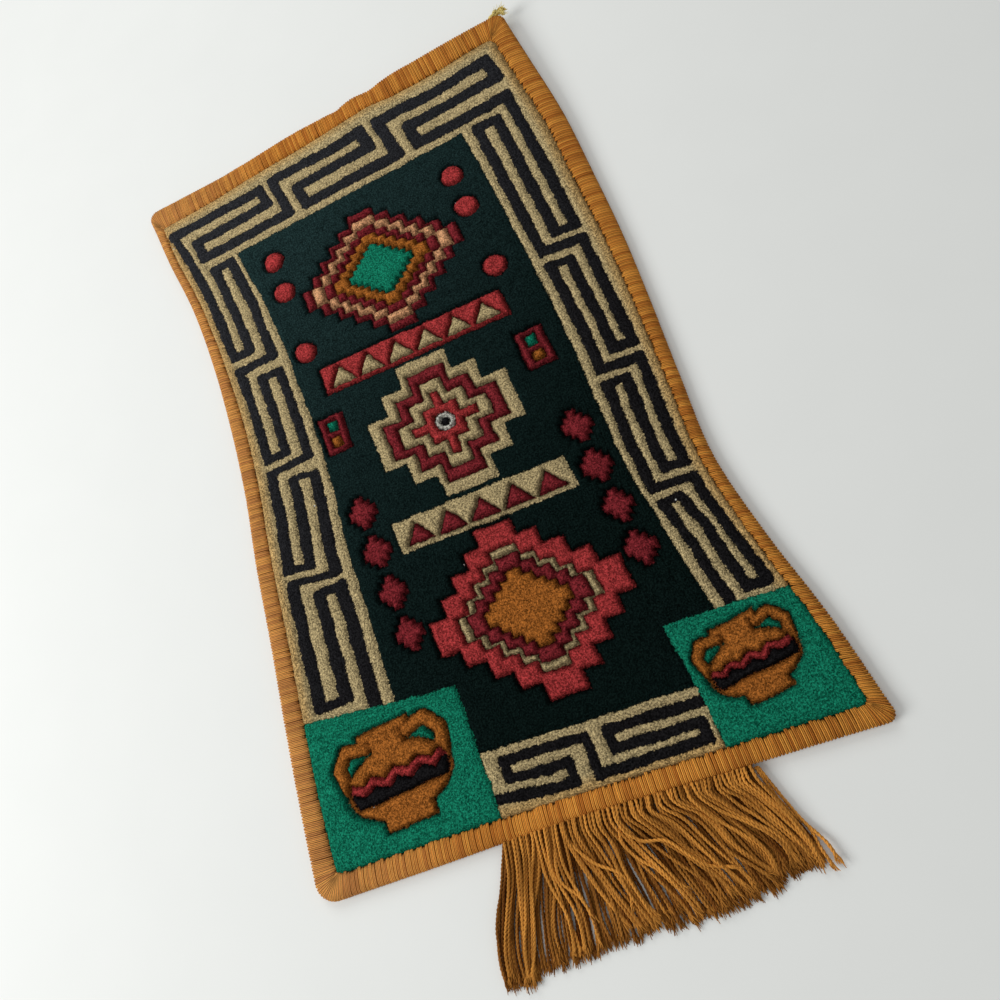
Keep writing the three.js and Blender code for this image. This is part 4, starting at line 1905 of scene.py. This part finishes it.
        # Painted shade: the pile finish darkens the grooves round the motifs and the valley beside the
        # binding by this.
        beside = self.levels.carved_depth * self.valley(x, y, to_edge, self.levels.carved_reach)
        numbers["carved"] = np.minimum(chart.carved() + beside, 1)
        numbers["margin"] = 1 - soft_step(to_edge, *self.margin)
        pile = PileFinish().make()
        return [self.patch(patch, points, floor, numbers, pile) for patch in PATCHES]

    def base_cloth(self) -> bpy.types.Object:
        """The woven cloth under the pile, which runs into the binding all round."""
        lay = self.lay
        straight = self.spread((lay.width, lay.length), self.cloth_cell, 0.0, self.cloth_inset)
        flat = lay.lie(straight[..., 0], straight[..., 1])
        chart = Chart(flat[..., 0], flat[..., 1])
        chart.draw()
        to_edge = lay.to_edge(straight[..., 0], straight[..., 1])
        lift = self.cloth_lift * (1 - soft_step(to_edge, 0.0, self.cloth_lift_reach))
        top = lay.in_frame(flat, self.levels.cloth_top + lift).reshape(-1, 3)
        under = lay.in_frame(flat, lift).reshape(-1, 3)
        high, wide = flat.shape[:2]
        rim = grid_rim(high, wide)
        wall = np.stack([rim, rim + high * wide, np.roll(rim, -1) + high * wide, np.roll(rim, -1)], axis=1)
        faces = [grid_faces(high, wide), grid_faces(high, wide, high * wide, True), wall]
        numbers = {yarn.value: np.tile(chart.inside[yarn].ravel(), 2) for yarn in Yarn}
        return mesh_piece("base_cloth", np.concatenate([top, under]), faces, BackFinish().make(), numbers)


# ---------------------------------------------------------------- the binding


@dataclass(frozen=True)
class SectionPoint:
    """A point of the binding's section: share of its width, further inset and height, in mm."""

    share: float
    inset: float
    z: float


STITCH = (
    SectionPoint(1.0, 0.5, 3.3),
    SectionPoint(1.0, -0.3, 4.4),
    SectionPoint(0.8, 0.0, 4.95),
    SectionPoint(0.5, 0.5, 5.1),
    SectionPoint(0.0, 3.3, 4.95),
    SectionPoint(0.0, 1.9, 4.5),
    SectionPoint(0.0, 1.15, 3.8),
    SectionPoint(0.0, 0.95, 2.9),
    SectionPoint(0.0, 1.3, 1.8),
    SectionPoint(0.0, 2.4, 1.0),
    SectionPoint(0.5, 0.8, 1.0),
    SectionPoint(1.0, -0.6, 1.0),
    SectionPoint(1.0, 0.2, 1.4),
)

PADDING = (
    SectionPoint(0.0, 0.9, 2.9),
    SectionPoint(0.0, 1.3, 4.0),
    SectionPoint(0.0, 2.3, 4.6),
    SectionPoint(0.0, 3.4, 4.8),
    SectionPoint(0.65, 0.0, 4.7),
    SectionPoint(1.0, -0.3, 4.1),
    SectionPoint(1.0, -0.3, 3.3),
    SectionPoint(0.0, 3.0, 3.3),
    SectionPoint(0.0, 3.0, 1.2),
    SectionPoint(1.0, -0.3, 1.2),
    SectionPoint(1.0, -0.3, 0.5),
    SectionPoint(0.0, 2.4, 0.5),
    SectionPoint(0.0, 1.2, 1.6),
)


@dataclass
class EdgeBinding:
    """The yarn sewn over and over round the edge of the cloth.

    Lengths are in mm. slant is how far a stitch leans along the edge on its way in, all of it at an inset
    of slant_inset or more. stray is how far its inner end strays and girth the range of its thickness.
    corner_pull and corner_most say how much further in the stitches at a corner reach.
    """

    lay: Lay
    winder: YarnWinder
    pitch: float = 1.62
    radius: float = 0.84
    girth: Point = (0.94, 1.04)
    end_girth: float = 0.6
    sides: int = 8
    slant: float = 0.9
    slant_inset: float = 12
    slant_spread: float = 0.1
    stray: Point = (-0.8, 1.0)
    height_spread: float = 0.03
    pitch_spread: float = 0.07
    corner_pull: float = 0.25
    corner_most: float = 2.5
    rim_steps: int = 80
    corner_steps: int = 8
    side_steps: int = 48

    def outer_edge(self) -> tuple[np.ndarray, np.ndarray]:
        """Points close together all round the outer edge and how far along it each is, in mm."""
        steps = np.linspace(0, 1, self.rim_steps, endpoint=False)
        rim = np.concatenate([self.lay.rim(part, steps, 0.0, 0.0) for part in range(8)])
        rim = np.concatenate([rim, rim[:1]])
        return rim, distance_along(self.lay.lie(rim[:, 0], rim[:, 1]))

    def stitch(
        self, rim: np.ndarray, travelled: np.ndarray, at: float, chance: np.random.Generator
    ) -> Guide:
        """One stitch round the edge.

        Args:
            rim: Points of the outer edge.
            travelled: How far along it each is, in mm.
            at: How far along it the stitch is.
            chance: Source of its unevenness.

        Returns:
            Its guide.
        """
        share = np.array([point.share for point in STITCH])
        inset = np.array([point.inset for point in STITCH])
        height = np.array([point.z for point in STITCH])
        inset = inset + np.where(share == 1.0, chance.uniform(*self.stray), 0.0)
        over = np.clip(share + inset / self.slant_inset, 0, 1)
        lean = chance.normal(self.slant, self.slant_spread) * over
        along = (at + lean) % travelled[-1]
        outer = np.stack([np.interp(along, travelled, rim[:, axis]) for axis in range(2)], axis=-1)
        run = self.lay.facing(outer) - outer
        corner = np.minimum(np.abs(run).min(axis=-1) * self.corner_pull, self.corner_most)
        depth = share + (inset + corner * share) / np.linalg.norm(run, axis=-1)
        straight = outer + run * depth[:, None]
        flat = self.lay.lie(straight[:, 0], straight[:, 1])
        height = np.maximum(height + chance.normal(0, self.height_spread), self.radius)
        radius = self.radius * chance.uniform(*self.girth) * MM
        ends = np.ones(len(STITCH))
        ends[0] = ends[-1] = self.end_girth
        return Guide(self.lay.in_frame(flat, height), radius * ends, chance.uniform(0, 1))

    def stitches(self, yarn: bpy.types.Material) -> bpy.types.Object:
        """All the stitches, side by side.

        Args:
            yarn: The material.

        Returns:
            The piece.
        """
        chance = np.random.default_rng(31)
        rim, travelled = self.outer_edge()
        count = round(travelled[-1] / self.pitch)
        guides = []
        for index in range(count):
            stray = chance.uniform(-self.pitch_spread, self.pitch_spread)
            at = (index + stray) * travelled[-1] / count
            guides.append(self.stitch(rim, travelled, at, chance))
        return self.winder.wind("binding_stitches", guides, self.sides, yarn)

    def padding(self, yarn: bpy.types.Material) -> bpy.types.Object:
        """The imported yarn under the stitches, one closed ring.

        Args:
            yarn: The material.

        Returns:
            The piece.
        """
        loops = []
        for point in PADDING:
            parts = []
            for part in range(8):
                steps = self.corner_steps if part % 2 == 0 else self.side_steps
                parts.append(self.lay.rim(part, np.arange(steps) / steps, point.share, point.inset))
            straight = np.concatenate(parts)
            flat = self.lay.lie(straight[:, 0], straight[:, 1])
            loops.append(self.lay.in_frame(flat, point.z))
        count = len(loops[0])
        faces = []
        for row in range(len(loops)):
            here = np.arange(count) + row * count
            there = np.arange(count) + (row + 1) % len(loops) * count
            faces.append(np.stack([here, np.roll(here, -1), np.roll(there, -1), there], axis=1))
        points = np.concatenate(loops)
        return mesh_piece("binding_padding", points, faces, yarn, {"tint": np.zeros(len(points))})


# ---------------------------------------------------------------- the fringe


@dataclass(frozen=True)
class Crossing:
    """A strand that lies over the others: points from its root to its tip, in mm, and its height."""

    points: tuple[tuple[float, float], ...]
    height: float


CROSSINGS = (
    Crossing(((22, -223), (16, -230), (13.5, -238), (18, -247), (26, -255), (32, -263)), 4.6),
    Crossing(((16, -224), (16, -233), (22, -240), (32, -243), (38, -250), (45, -258), (55, -262)), 5.6),
    Crossing(((-9, -223), (-9, -231), (-2, -242), (7, -249), (9.5, -256), (7, -264)), 5.0),
    Crossing(((-14, -223), (-19, -238), (-19, -246), (-14, -253), (-11, -262)), 4.2),
    Crossing(((82, -228), (86, -242), (90, -254), (95, -264), (96.5, -271)), 2.0),
    Crossing(((81, -228), (85, -245), (91, -257), (92, -266), (93.5, -273)), 1.6),
)

# The strands on top are pushed further to the right than those under them.
SWEPT_ROWS = (
    FringeRow(-40, -50, -59, 58),
    FringeRow(-27, -33, -39, 57),
    FringeRow(-10, -9, -4, 54),
    FringeRow(8, 13, 21, 52),
    FringeRow(25, 35, 46, 49),
    FringeRow(42, 55, 67, 46),
    FringeRow(60, 72, 82, 44),
    FringeRow(80, 87, 91, 43),
)


class FringeRun:
    """Where the strands of one layer of the fringe run, read from its rows."""

    def __init__(self, rows: tuple[FringeRow, ...]) -> None:
        """Makes a column of each field, over the share of the fringe from left to right."""
        shares = [(row.root - rows[0].root) / (rows[-1].root - rows[0].root) for row in rows]
        names = [field.name for field in fields(FringeRow)]
        self.columns = [Column(shares, [getattr(row, name) for row in rows]) for name in names]

    def at(self, across: float) -> FringeRow:
        """The run of the strand at a share of the fringe from its left end."""
        return FringeRow(*(float(column(across)) for column in self.columns))


@dataclass(frozen=True)
class FringeLayer:
    """One layer of strands.

    height is 0 for the lowest layer and 1 for the highest, step the distance between the points of a ply
    in mm, gather how much the strands draw together in locks, tints their range from dark to light, darker
    for the lower layers as painted shade under the strands over them, and crossings the strands that lie
    over them.
    """

    name: str
    run: FringeRun
    count: int
    height: float
    step: float
    sides: int
    seed: int
    gather: float
    tints: Point
    crossings: tuple[Crossing, ...] = ()


# The lower layers are darker and the top one lighter: painted shade under the strands that lie over them,
# on top of each strand's own chance tone.
FRINGE_LAYERS = (
    FringeLayer("fringe_lower", FringeRun(FRINGE_ROWS), 134, 0.0, 1.2, 4, 41, 0.05, (0.05, 0.4)),
    FringeLayer("fringe_middle", FringeRun(FRINGE_ROWS), 66, 0.5, 0.9, 5, 43, 0.3, (0.1, 0.75)),
    FringeLayer("fringe_upper", FringeRun(SWEPT_ROWS), 60, 1.0, 0.75, 6, 42, 0.6, (0.45, 1.0), CROSSINGS),
)


@dataclass(frozen=True)
class Lock:
    """A lock of strands that run together: its middle, and chance values for its sway, bend and cut."""

    across: float
    push: float
    bend: float
    cut: float


@dataclass(frozen=True)
class StrandShape:
    """How a strand strays on its way; lengths in mm and places as shares of its run from root to tip.

    Sizes whose name starts with own differ from strand to strand, and those with by_height grow with the
    height of the layer.
    """

    places: tuple[float, ...] = (-0.02, 0.04, 0.1, 0.17, 0.26, 0.36, 0.48, 0.6, 0.72, 0.86, 1.0)
    calm_ends: float = 0.85
    calm_from: Point = (0.36, 0.5)
    push: float = 6.0
    own_push: float = 0.8
    sway_share: float = 0.75
    hook: Point = (0.6, 2.8)
    hook_across: Point = (0.2, 0.6)
    hook_place: float = 0.12
    hook_run: float = 0.09
    bend: float = 2.6
    own_bend: float = 0.6
    wave: float = 0.45
    wave_turns: Point = (3, 5)
    own_trim: Point = (-1.0, 2.5)
    trim: float = 1.5
    trim_by_height: float = 3.0
    ground: float = 1.0
    ground_by_height: float = 2.6
    own_ground: Point = (-0.5, 0.9)
    root_place: float = 0.1
    root_run: float = 0.12
    root_rise: float = 0.8
    root_rise_by_height: float = 0.7
    heave: float = 0.5
    sink: float = 1.5
    lowest: float = 1.0


@dataclass(frozen=True)
class Fray:
    """The loose fibres at a strand's tip, with lengths in mm."""

    count: int = 11
    spread: float = 0.2
    flatness: float = 0.3
    scatter: float = 0.42
    length: Point = (1.6, 4.2)
    bow: float = 0.16
    lowest_root: float = 0.4
    lowest_tip: float = 0.3
    radii: tuple[float, float, float] = (0.3, 0.26, 0.14)
    tint_share: float = 0.7
    own_tint: float = 0.3


@dataclass
class Fringe:
    """The fringe under the bottom edge: layers of two-ply strands with frayed ends.

    Lengths are in mm. ply is the distance of a ply from its strand's middle, twist the length of a turn,
    lock_sizes the fewest strands of a lock and one more than the most, own_place how far a strand strays
    as a share of the distance between two, and uneven and tip_swell change a ply's radius.
    """

    lay: Lay
    winder: YarnWinder
    ply: float = 0.34
    ply_radius: float = 0.53
    twist: float = 3.9
    shape: StrandShape = StrandShape()
    fray: Fray = Fray()
    lock_sizes: tuple[int, int] = (2, 8)
    own_place: float = 0.35
    uneven: float = 0.07
    tip_swell: float = 0.2
    crossing_ground: float = 2.6
    crossing_lowest: float = 1.3

    def locks(self, layer: FringeLayer, chance: np.random.Generator) -> list[Lock]:
        """The lock that each strand of a layer belongs to.

        Args:
            layer: The layer.
            chance: Source of its unevenness.

        Returns:
            A lock for each strand, from left to right.
        """
        locks = []
        while len(locks) < layer.count:
            size = int(chance.integers(*self.lock_sizes))
            middle = (len(locks) + size / 2) / layer.count
            locks += [Lock(middle, *chance.normal(0, 1, 3))] * size
        return locks[: layer.count]

    def strand(
        self, across: float, layer: FringeLayer, lock: Lock, chance: np.random.Generator
    ) -> np.ndarray:
        """The middle line of a strand.

        Args:
            across: Share of the fringe from its left end to its right.
            layer: The layer that it is in.
            lock: The lock that it belongs to.
            chance: Source of its own unevenness.

        Returns:
            Points from its root to its tip, in mm on the surface.
        """
        shape = self.shape
        row = layer.run.at(across)
        tip = layer.run.at(blend(across, lock.across, layer.gather)).tip
        down = np.array(shape.places)
        bow = row.knee - (row.root + row.tip) / 2
        ends = 1 - shape.calm_ends * float(soft_step(np.array(abs(across - 0.5)), *shape.calm_from))
        own_push = chance.normal(0, shape.own_push + layer.gather)
        push = (shape.push * layer.gather * lock.push + own_push) * ends
        sway = soft_step(down, 0.02, 1.05)
        x = row.root + (tip - row.root + push) * blend(down, sway, shape.sway_share)
        x += 4 * down * (1 - down) * bow
        hook = float(soft_step(np.array(across), *shape.hook_across)) * chance.uniform(*shape.hook)
        x -= hook * np.exp(-(((down - shape.hook_place) / shape.hook_run) ** 2))
        bends = (shape.bend * layer.gather * lock.bend + chance.normal(0, shape.own_bend)) * ends
        x += bends * np.sin(down * math.pi * 2) * soft_step(down, 0.0, 0.4)
        wave = chance.normal(0, shape.wave)
        x += wave * np.sin(down * math.pi * chance.uniform(*shape.wave_turns)) * down
        own_trim = chance.uniform(*shape.own_trim)
        trim = own_trim + (shape.trim + shape.trim_by_height * layer.height) * abs(lock.cut)
        edge = float(self.lay.bottom["edge"](row.root))
        y = edge - down * (row.reach - trim)
        own_ground = chance.uniform(*shape.own_ground)
        ground = shape.ground + shape.ground_by_height * layer.height + own_ground
        rise = np.exp(-(((down - shape.root_place) / shape.root_run) ** 2))
        z = ground + rise * (shape.root_rise + shape.root_rise_by_height * layer.height)
        z += shape.heave * chance.normal() * np.sin(down * math.pi * 2)
        z -= layer.height * shape.sink * soft_step(down, 0.5, 1.0)
        return np.stack([x, y, np.maximum(z, shape.lowest)], axis=1)

    def frayed(self, middle: np.ndarray, tint: float, chance: np.random.Generator) -> list[Guide]:
        """The loose fibres at the tip of a strand.

        Args:
            middle: The strand's line in metres.
            tint: Its tint.
            chance: Source of its unevenness.

        Returns:
            A guide for each fibre.
        """
        fray = self.fray
        heading = middle[-1] - middle[-3]
        heading /= np.linalg.norm(heading)
        radii = np.array(fray.radii) * MM
        guides = []
        for _ in range(fray.count):
            spread = chance.normal(0, fray.spread, 3)
            spread[2] = abs(spread[2]) * fray.flatness
            start = middle[-2] + chance.normal(0, fray.scatter, 3) * MM
            start[2] = max(start[2], fray.lowest_root * MM)
            tip = start + (heading + spread) * chance.uniform(*fray.length) * MM
            tip[2] = max(tip[2], fray.lowest_tip * MM)
            between = (start + tip) / 2 + chance.normal(0, fray.bow, 3) * MM
            own_tint = tint * fray.tint_share + chance.uniform(0, fray.own_tint)
            guides.append(Guide(np.array([start, between, tip]), radii, own_tint))
        return guides

    def spin(self, line: np.ndarray, step: float, chance: np.random.Generator, tint: float) -> list[Guide]:
        """Twists two plies along a line and frays its end.

        Args:
            line: The strand's line in mm.
            step: Distance between the points of a ply, in mm.
            chance: Source of its unevenness.
            tint: Its tint.

        Returns:
            Guides for the plies and for the loose fibres at the tip.
        """
        flat = np.array(line, float)
        flat[:, :2] += self.lay.shift
        middle = smooth_line(flat * MM, step * MM)
        share = np.linspace(0, 1, len(middle))
        radius = self.ply_radius * MM * (1 + self.uneven * np.sin(share * 40 + chance.uniform(0, 6)))
        radius = radius * (1 + self.tip_swell * soft_step(share, 0.88, 1.0))
        guides = plied(middle, self.ply * MM, self.twist * MM, chance.uniform(0, 6.28), radius, tint)
        return guides + self.frayed(middle, tint, chance)

    def layer(self, layer: FringeLayer, yarn: bpy.types.Material) -> bpy.types.Object:
        """One layer of strands.

        Args:
            layer: Which layer.
            yarn: The material.

        Returns:
            The piece.
        """
        chance = np.random.default_rng(layer.seed)
        guides = []
        for index, lock in enumerate(self.locks(layer, chance)):
            own_place = chance.uniform(-self.own_place, self.own_place)
            across = (index + 0.5 + own_place) / layer.count
            line = self.strand(across, layer, lock, chance)
            guides += self.spin(line, layer.step, chance, chance.uniform(*layer.tints))
        for crossing in layer.crossings:
            flat = np.array(crossing.points)
            arch = np.sin(np.clip(np.linspace(0, 1, len(flat)) * 1.15, 0, 1) * math.pi)
            height = self.crossing_ground + (crossing.height - self.crossing_ground) * arch
            line = np.column_stack([flat, np.maximum(height, self.crossing_lowest)])
            # A crossing strand takes the lightest tint: painted light on the strands that lie on top.
            guides += self.spin(line, layer.step, chance, 1.0)
        return self.winder.wind(layer.name, guides, layer.sides, yarn)

    def pieces(self, yarn: bpy.types.Material) -> list[bpy.types.Object]:
        """Every layer."""
        return [self.layer(layer, yarn) for layer in FRINGE_LAYERS]


# ---------------------------------------------------------------- the loose end


@dataclass
class LooseEnd:
    """The free end of the binding yarn at the top right corner, in mm from that corner."""

    lay: Lay
    winder: YarnWinder
    path: tuple[tuple[float, float, float], ...] = (
        (-8.8, -1.0, 5.8),
        (-6.4, 0.6, 7.2),
        (-3.6, 1.5, 8.2),
        (-0.6, 1.4, 8.6),
        (2.0, -0.2, 8.2),
    )
    turns: int = 8
    stray: float = 0.85
    ply: float = 0.42
    ply_radius: float = 0.55
    twist: float = 3.6
    step: float = 0.5
    sides: int = 5
    fibres: int = 20
    fibre_reach: float = 1.25
    fibre_lean: tuple[float, float, float] = (0.9, 0.2, 0.2)
    fibre_bow: float = 0.2
    fibre_radii: tuple[float, float, float] = (0.14, 0.1, 0.05)

    def piece(self, yarn: bpy.types.Material) -> bpy.types.Object:
        """A tuft of short ends that lean over the corner, with fluffed tips.

        Args:
            yarn: The material.

        Returns:
            The piece.
        """
        chance = np.random.default_rng(51)
        corner = self.lay.lie(np.array(self.lay.width / 2), np.array(self.lay.length / 2))
        lean = np.array(self.fibre_lean) * MM
        radii = np.array(self.fibre_radii) * MM
        guides = []
        for turn in range(self.turns):
            points = np.array(self.path) + chance.normal(0, self.stray, (len(self.path), 3))
            points[:, 0] += corner[0] + self.lay.shift[0]
            points[:, 1] += corner[1] + self.lay.shift[1]
            line = smooth_line(points * MM, self.step * MM)
            radius = self.ply_radius * MM * np.linspace(1.0, 0.8, len(line))
            tint = chance.uniform(0, 1)
            guides += plied(line, self.ply * MM, self.twist * MM, 2.0 * turn, radius, tint)
            for _ in range(self.fibres):
                start = line[chance.integers(len(line) // 3, len(line))]
                tip = start + chance.normal(0, self.fibre_reach, 3) * MM + lean
                between = (start + tip) / 2 + chance.normal(0, self.fibre_bow, 3) * MM
                guides.append(Guide(np.array([start, between, tip]), radii, 1.0))
        return self.winder.wind("loose_end", guides, self.sides, yarn)


# ---------------------------------------------------------------- the studio


@dataclass(frozen=True)
class Lamp:
    """A soft square lamp that faces the cloth: its place and side in metres and its power in watts."""

    name: str
    place: tuple[float, float, float]
    size: float
    power: float


LAMPS = (
    Lamp("upper_window", (-0.08, 0.86, 0.8), 0.65, 3.8),
    Lamp("lower_window", (-1.09, -0.13, 0.8), 0.65, 12.6),
)


@dataclass(frozen=True)
class Studio:
    """The camera over the cloth, the pale floor and the soft light.

    The lens, the sensor and the eye's place are in mm, and the rest is in metres.
    """

    lens: float = 25.2
    sensor: float = 36.0
    eye: tuple[float, float, float] = (72.65, -179.93, 348.9)
    look: tuple[float, float, float] = (-0.149447, 0.308314, -0.939472)
    upward: tuple[float, float, float] = (0.401282, 0.887289, 0.227355)
    nearest: float = 0.01
    floor_reach: float = 3.0
    room_light: float = 0.4

    def camera(self) -> bpy.types.Object:
        """Makes the camera; aim() places it once the cloth's frame is known."""
        data = bpy.data.cameras.new("camera")
        data.lens = self.lens
        data.sensor_width = self.sensor
        data.clip_start = self.nearest
        camera = put_in_scene("camera", data)
        bpy.context.scene.camera = camera
        return camera

    def aim(self, camera: bpy.types.Object, lay: Lay) -> None:
        """Places the camera over the cloth.

        Args:
            camera: The camera.
            lay: How the cloth lies, whose shift takes the eye into the frame.
        """
        back = -Vector(self.look)
        up = Vector(self.upward)
        right = up.cross(back)
        eye = Vector((self.eye[0] + lay.shift[0], self.eye[1] + lay.shift[1], self.eye[2])) * MM
        turn = Matrix((right, up, back)).transposed().to_4x4()
        camera.matrix_world = Matrix.Translation(eye) @ turn

    def floor(self) -> bpy.types.Object:
        """The surface that the cloth lies on."""
        reach = self.floor_reach
        corners = np.array([(-reach, -reach, 0), (reach, -reach, 0), (reach, reach, 0), (-reach, reach, 0)])
        floor = mesh_piece("floor", corners, [np.array([[0, 1, 2, 3]])], FloorFinish().make())
        return floor

    def hang(self, lamp: Lamp) -> None:
        """Adds a lamp to the scene.

        Args:
            lamp: Which lamp.
        """
        data = bpy.data.lights.new(lamp.name, "AREA")
        data.size = lamp.size
        data.energy = lamp.power
        light = put_in_scene(lamp.name, data)
        light.location = lamp.place
        light.rotation_mode = "QUATERNION"
        light.rotation_quaternion = (-Vector(lamp.place)).to_track_quat("-Z", "Y")

    def light(self) -> None:
        """Even light from all round and two large soft lamps on the left."""
        world = bpy.data.worlds.new("room")
        world.use_nodes = True
        background = world.node_tree.nodes["Background"]
        background.inputs["Color"].default_value = (1.0, 1.0, 1.0, 1.0)
        background.inputs["Strength"].default_value = self.room_light
        bpy.context.scene.world = world
        for lamp in LAMPS:
            self.hang(lamp)
        bpy.context.scene.view_settings.view_transform = "Standard"


# ---------------------------------------------------------------- putting it together


def settle(piece: bpy.types.Object, node: str) -> None:
    """Makes a piece ride with the part in place of one of its solids.

    Args:
        piece: The piece.
        node: The solid that it stands for.
    """
    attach(piece, "root")
    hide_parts(node)
    triangles = sum(len(face.vertices) - 2 for face in piece.data.polygons)
    LOG.info("%s: %d triangles", piece.name, triangles)


def main() -> None:
    """Builds the studio and every piece of the tapestry, and reports each."""
    logging.basicConfig(level=logging.INFO, format="%(name)s: %(message)s")
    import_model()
    studio = Studio()
    camera = studio.camera()
    lay = Lay()
    studio.aim(camera, lay)
    studio.floor()
    studio.light()

    panel = PilePanel(lay)
    cloth = panel.base_cloth()
    pile = panel.pile_pieces()
    for piece in [cloth, *pile]:
        settle(piece, "pile_panel")

    winder = YarnWinder()
    binding = EdgeBinding(lay, winder)
    stitches = binding.stitches(BINDING_YARN.make())
    padding = binding.padding(SHADED_PADDING_YARN.make())
    for piece in (stitches, padding):
        settle(piece, "edge_binding")

    fringe = Fringe(lay, winder).pieces(FRINGE_YARN.make())
    for piece in fringe:
        settle(piece, "fringe_comb")

    end = LooseEnd(lay, winder).piece(LOOSE_YARN.make())
    settle(end, "yarn_tail")


if __name__ == "__main__":
    main()
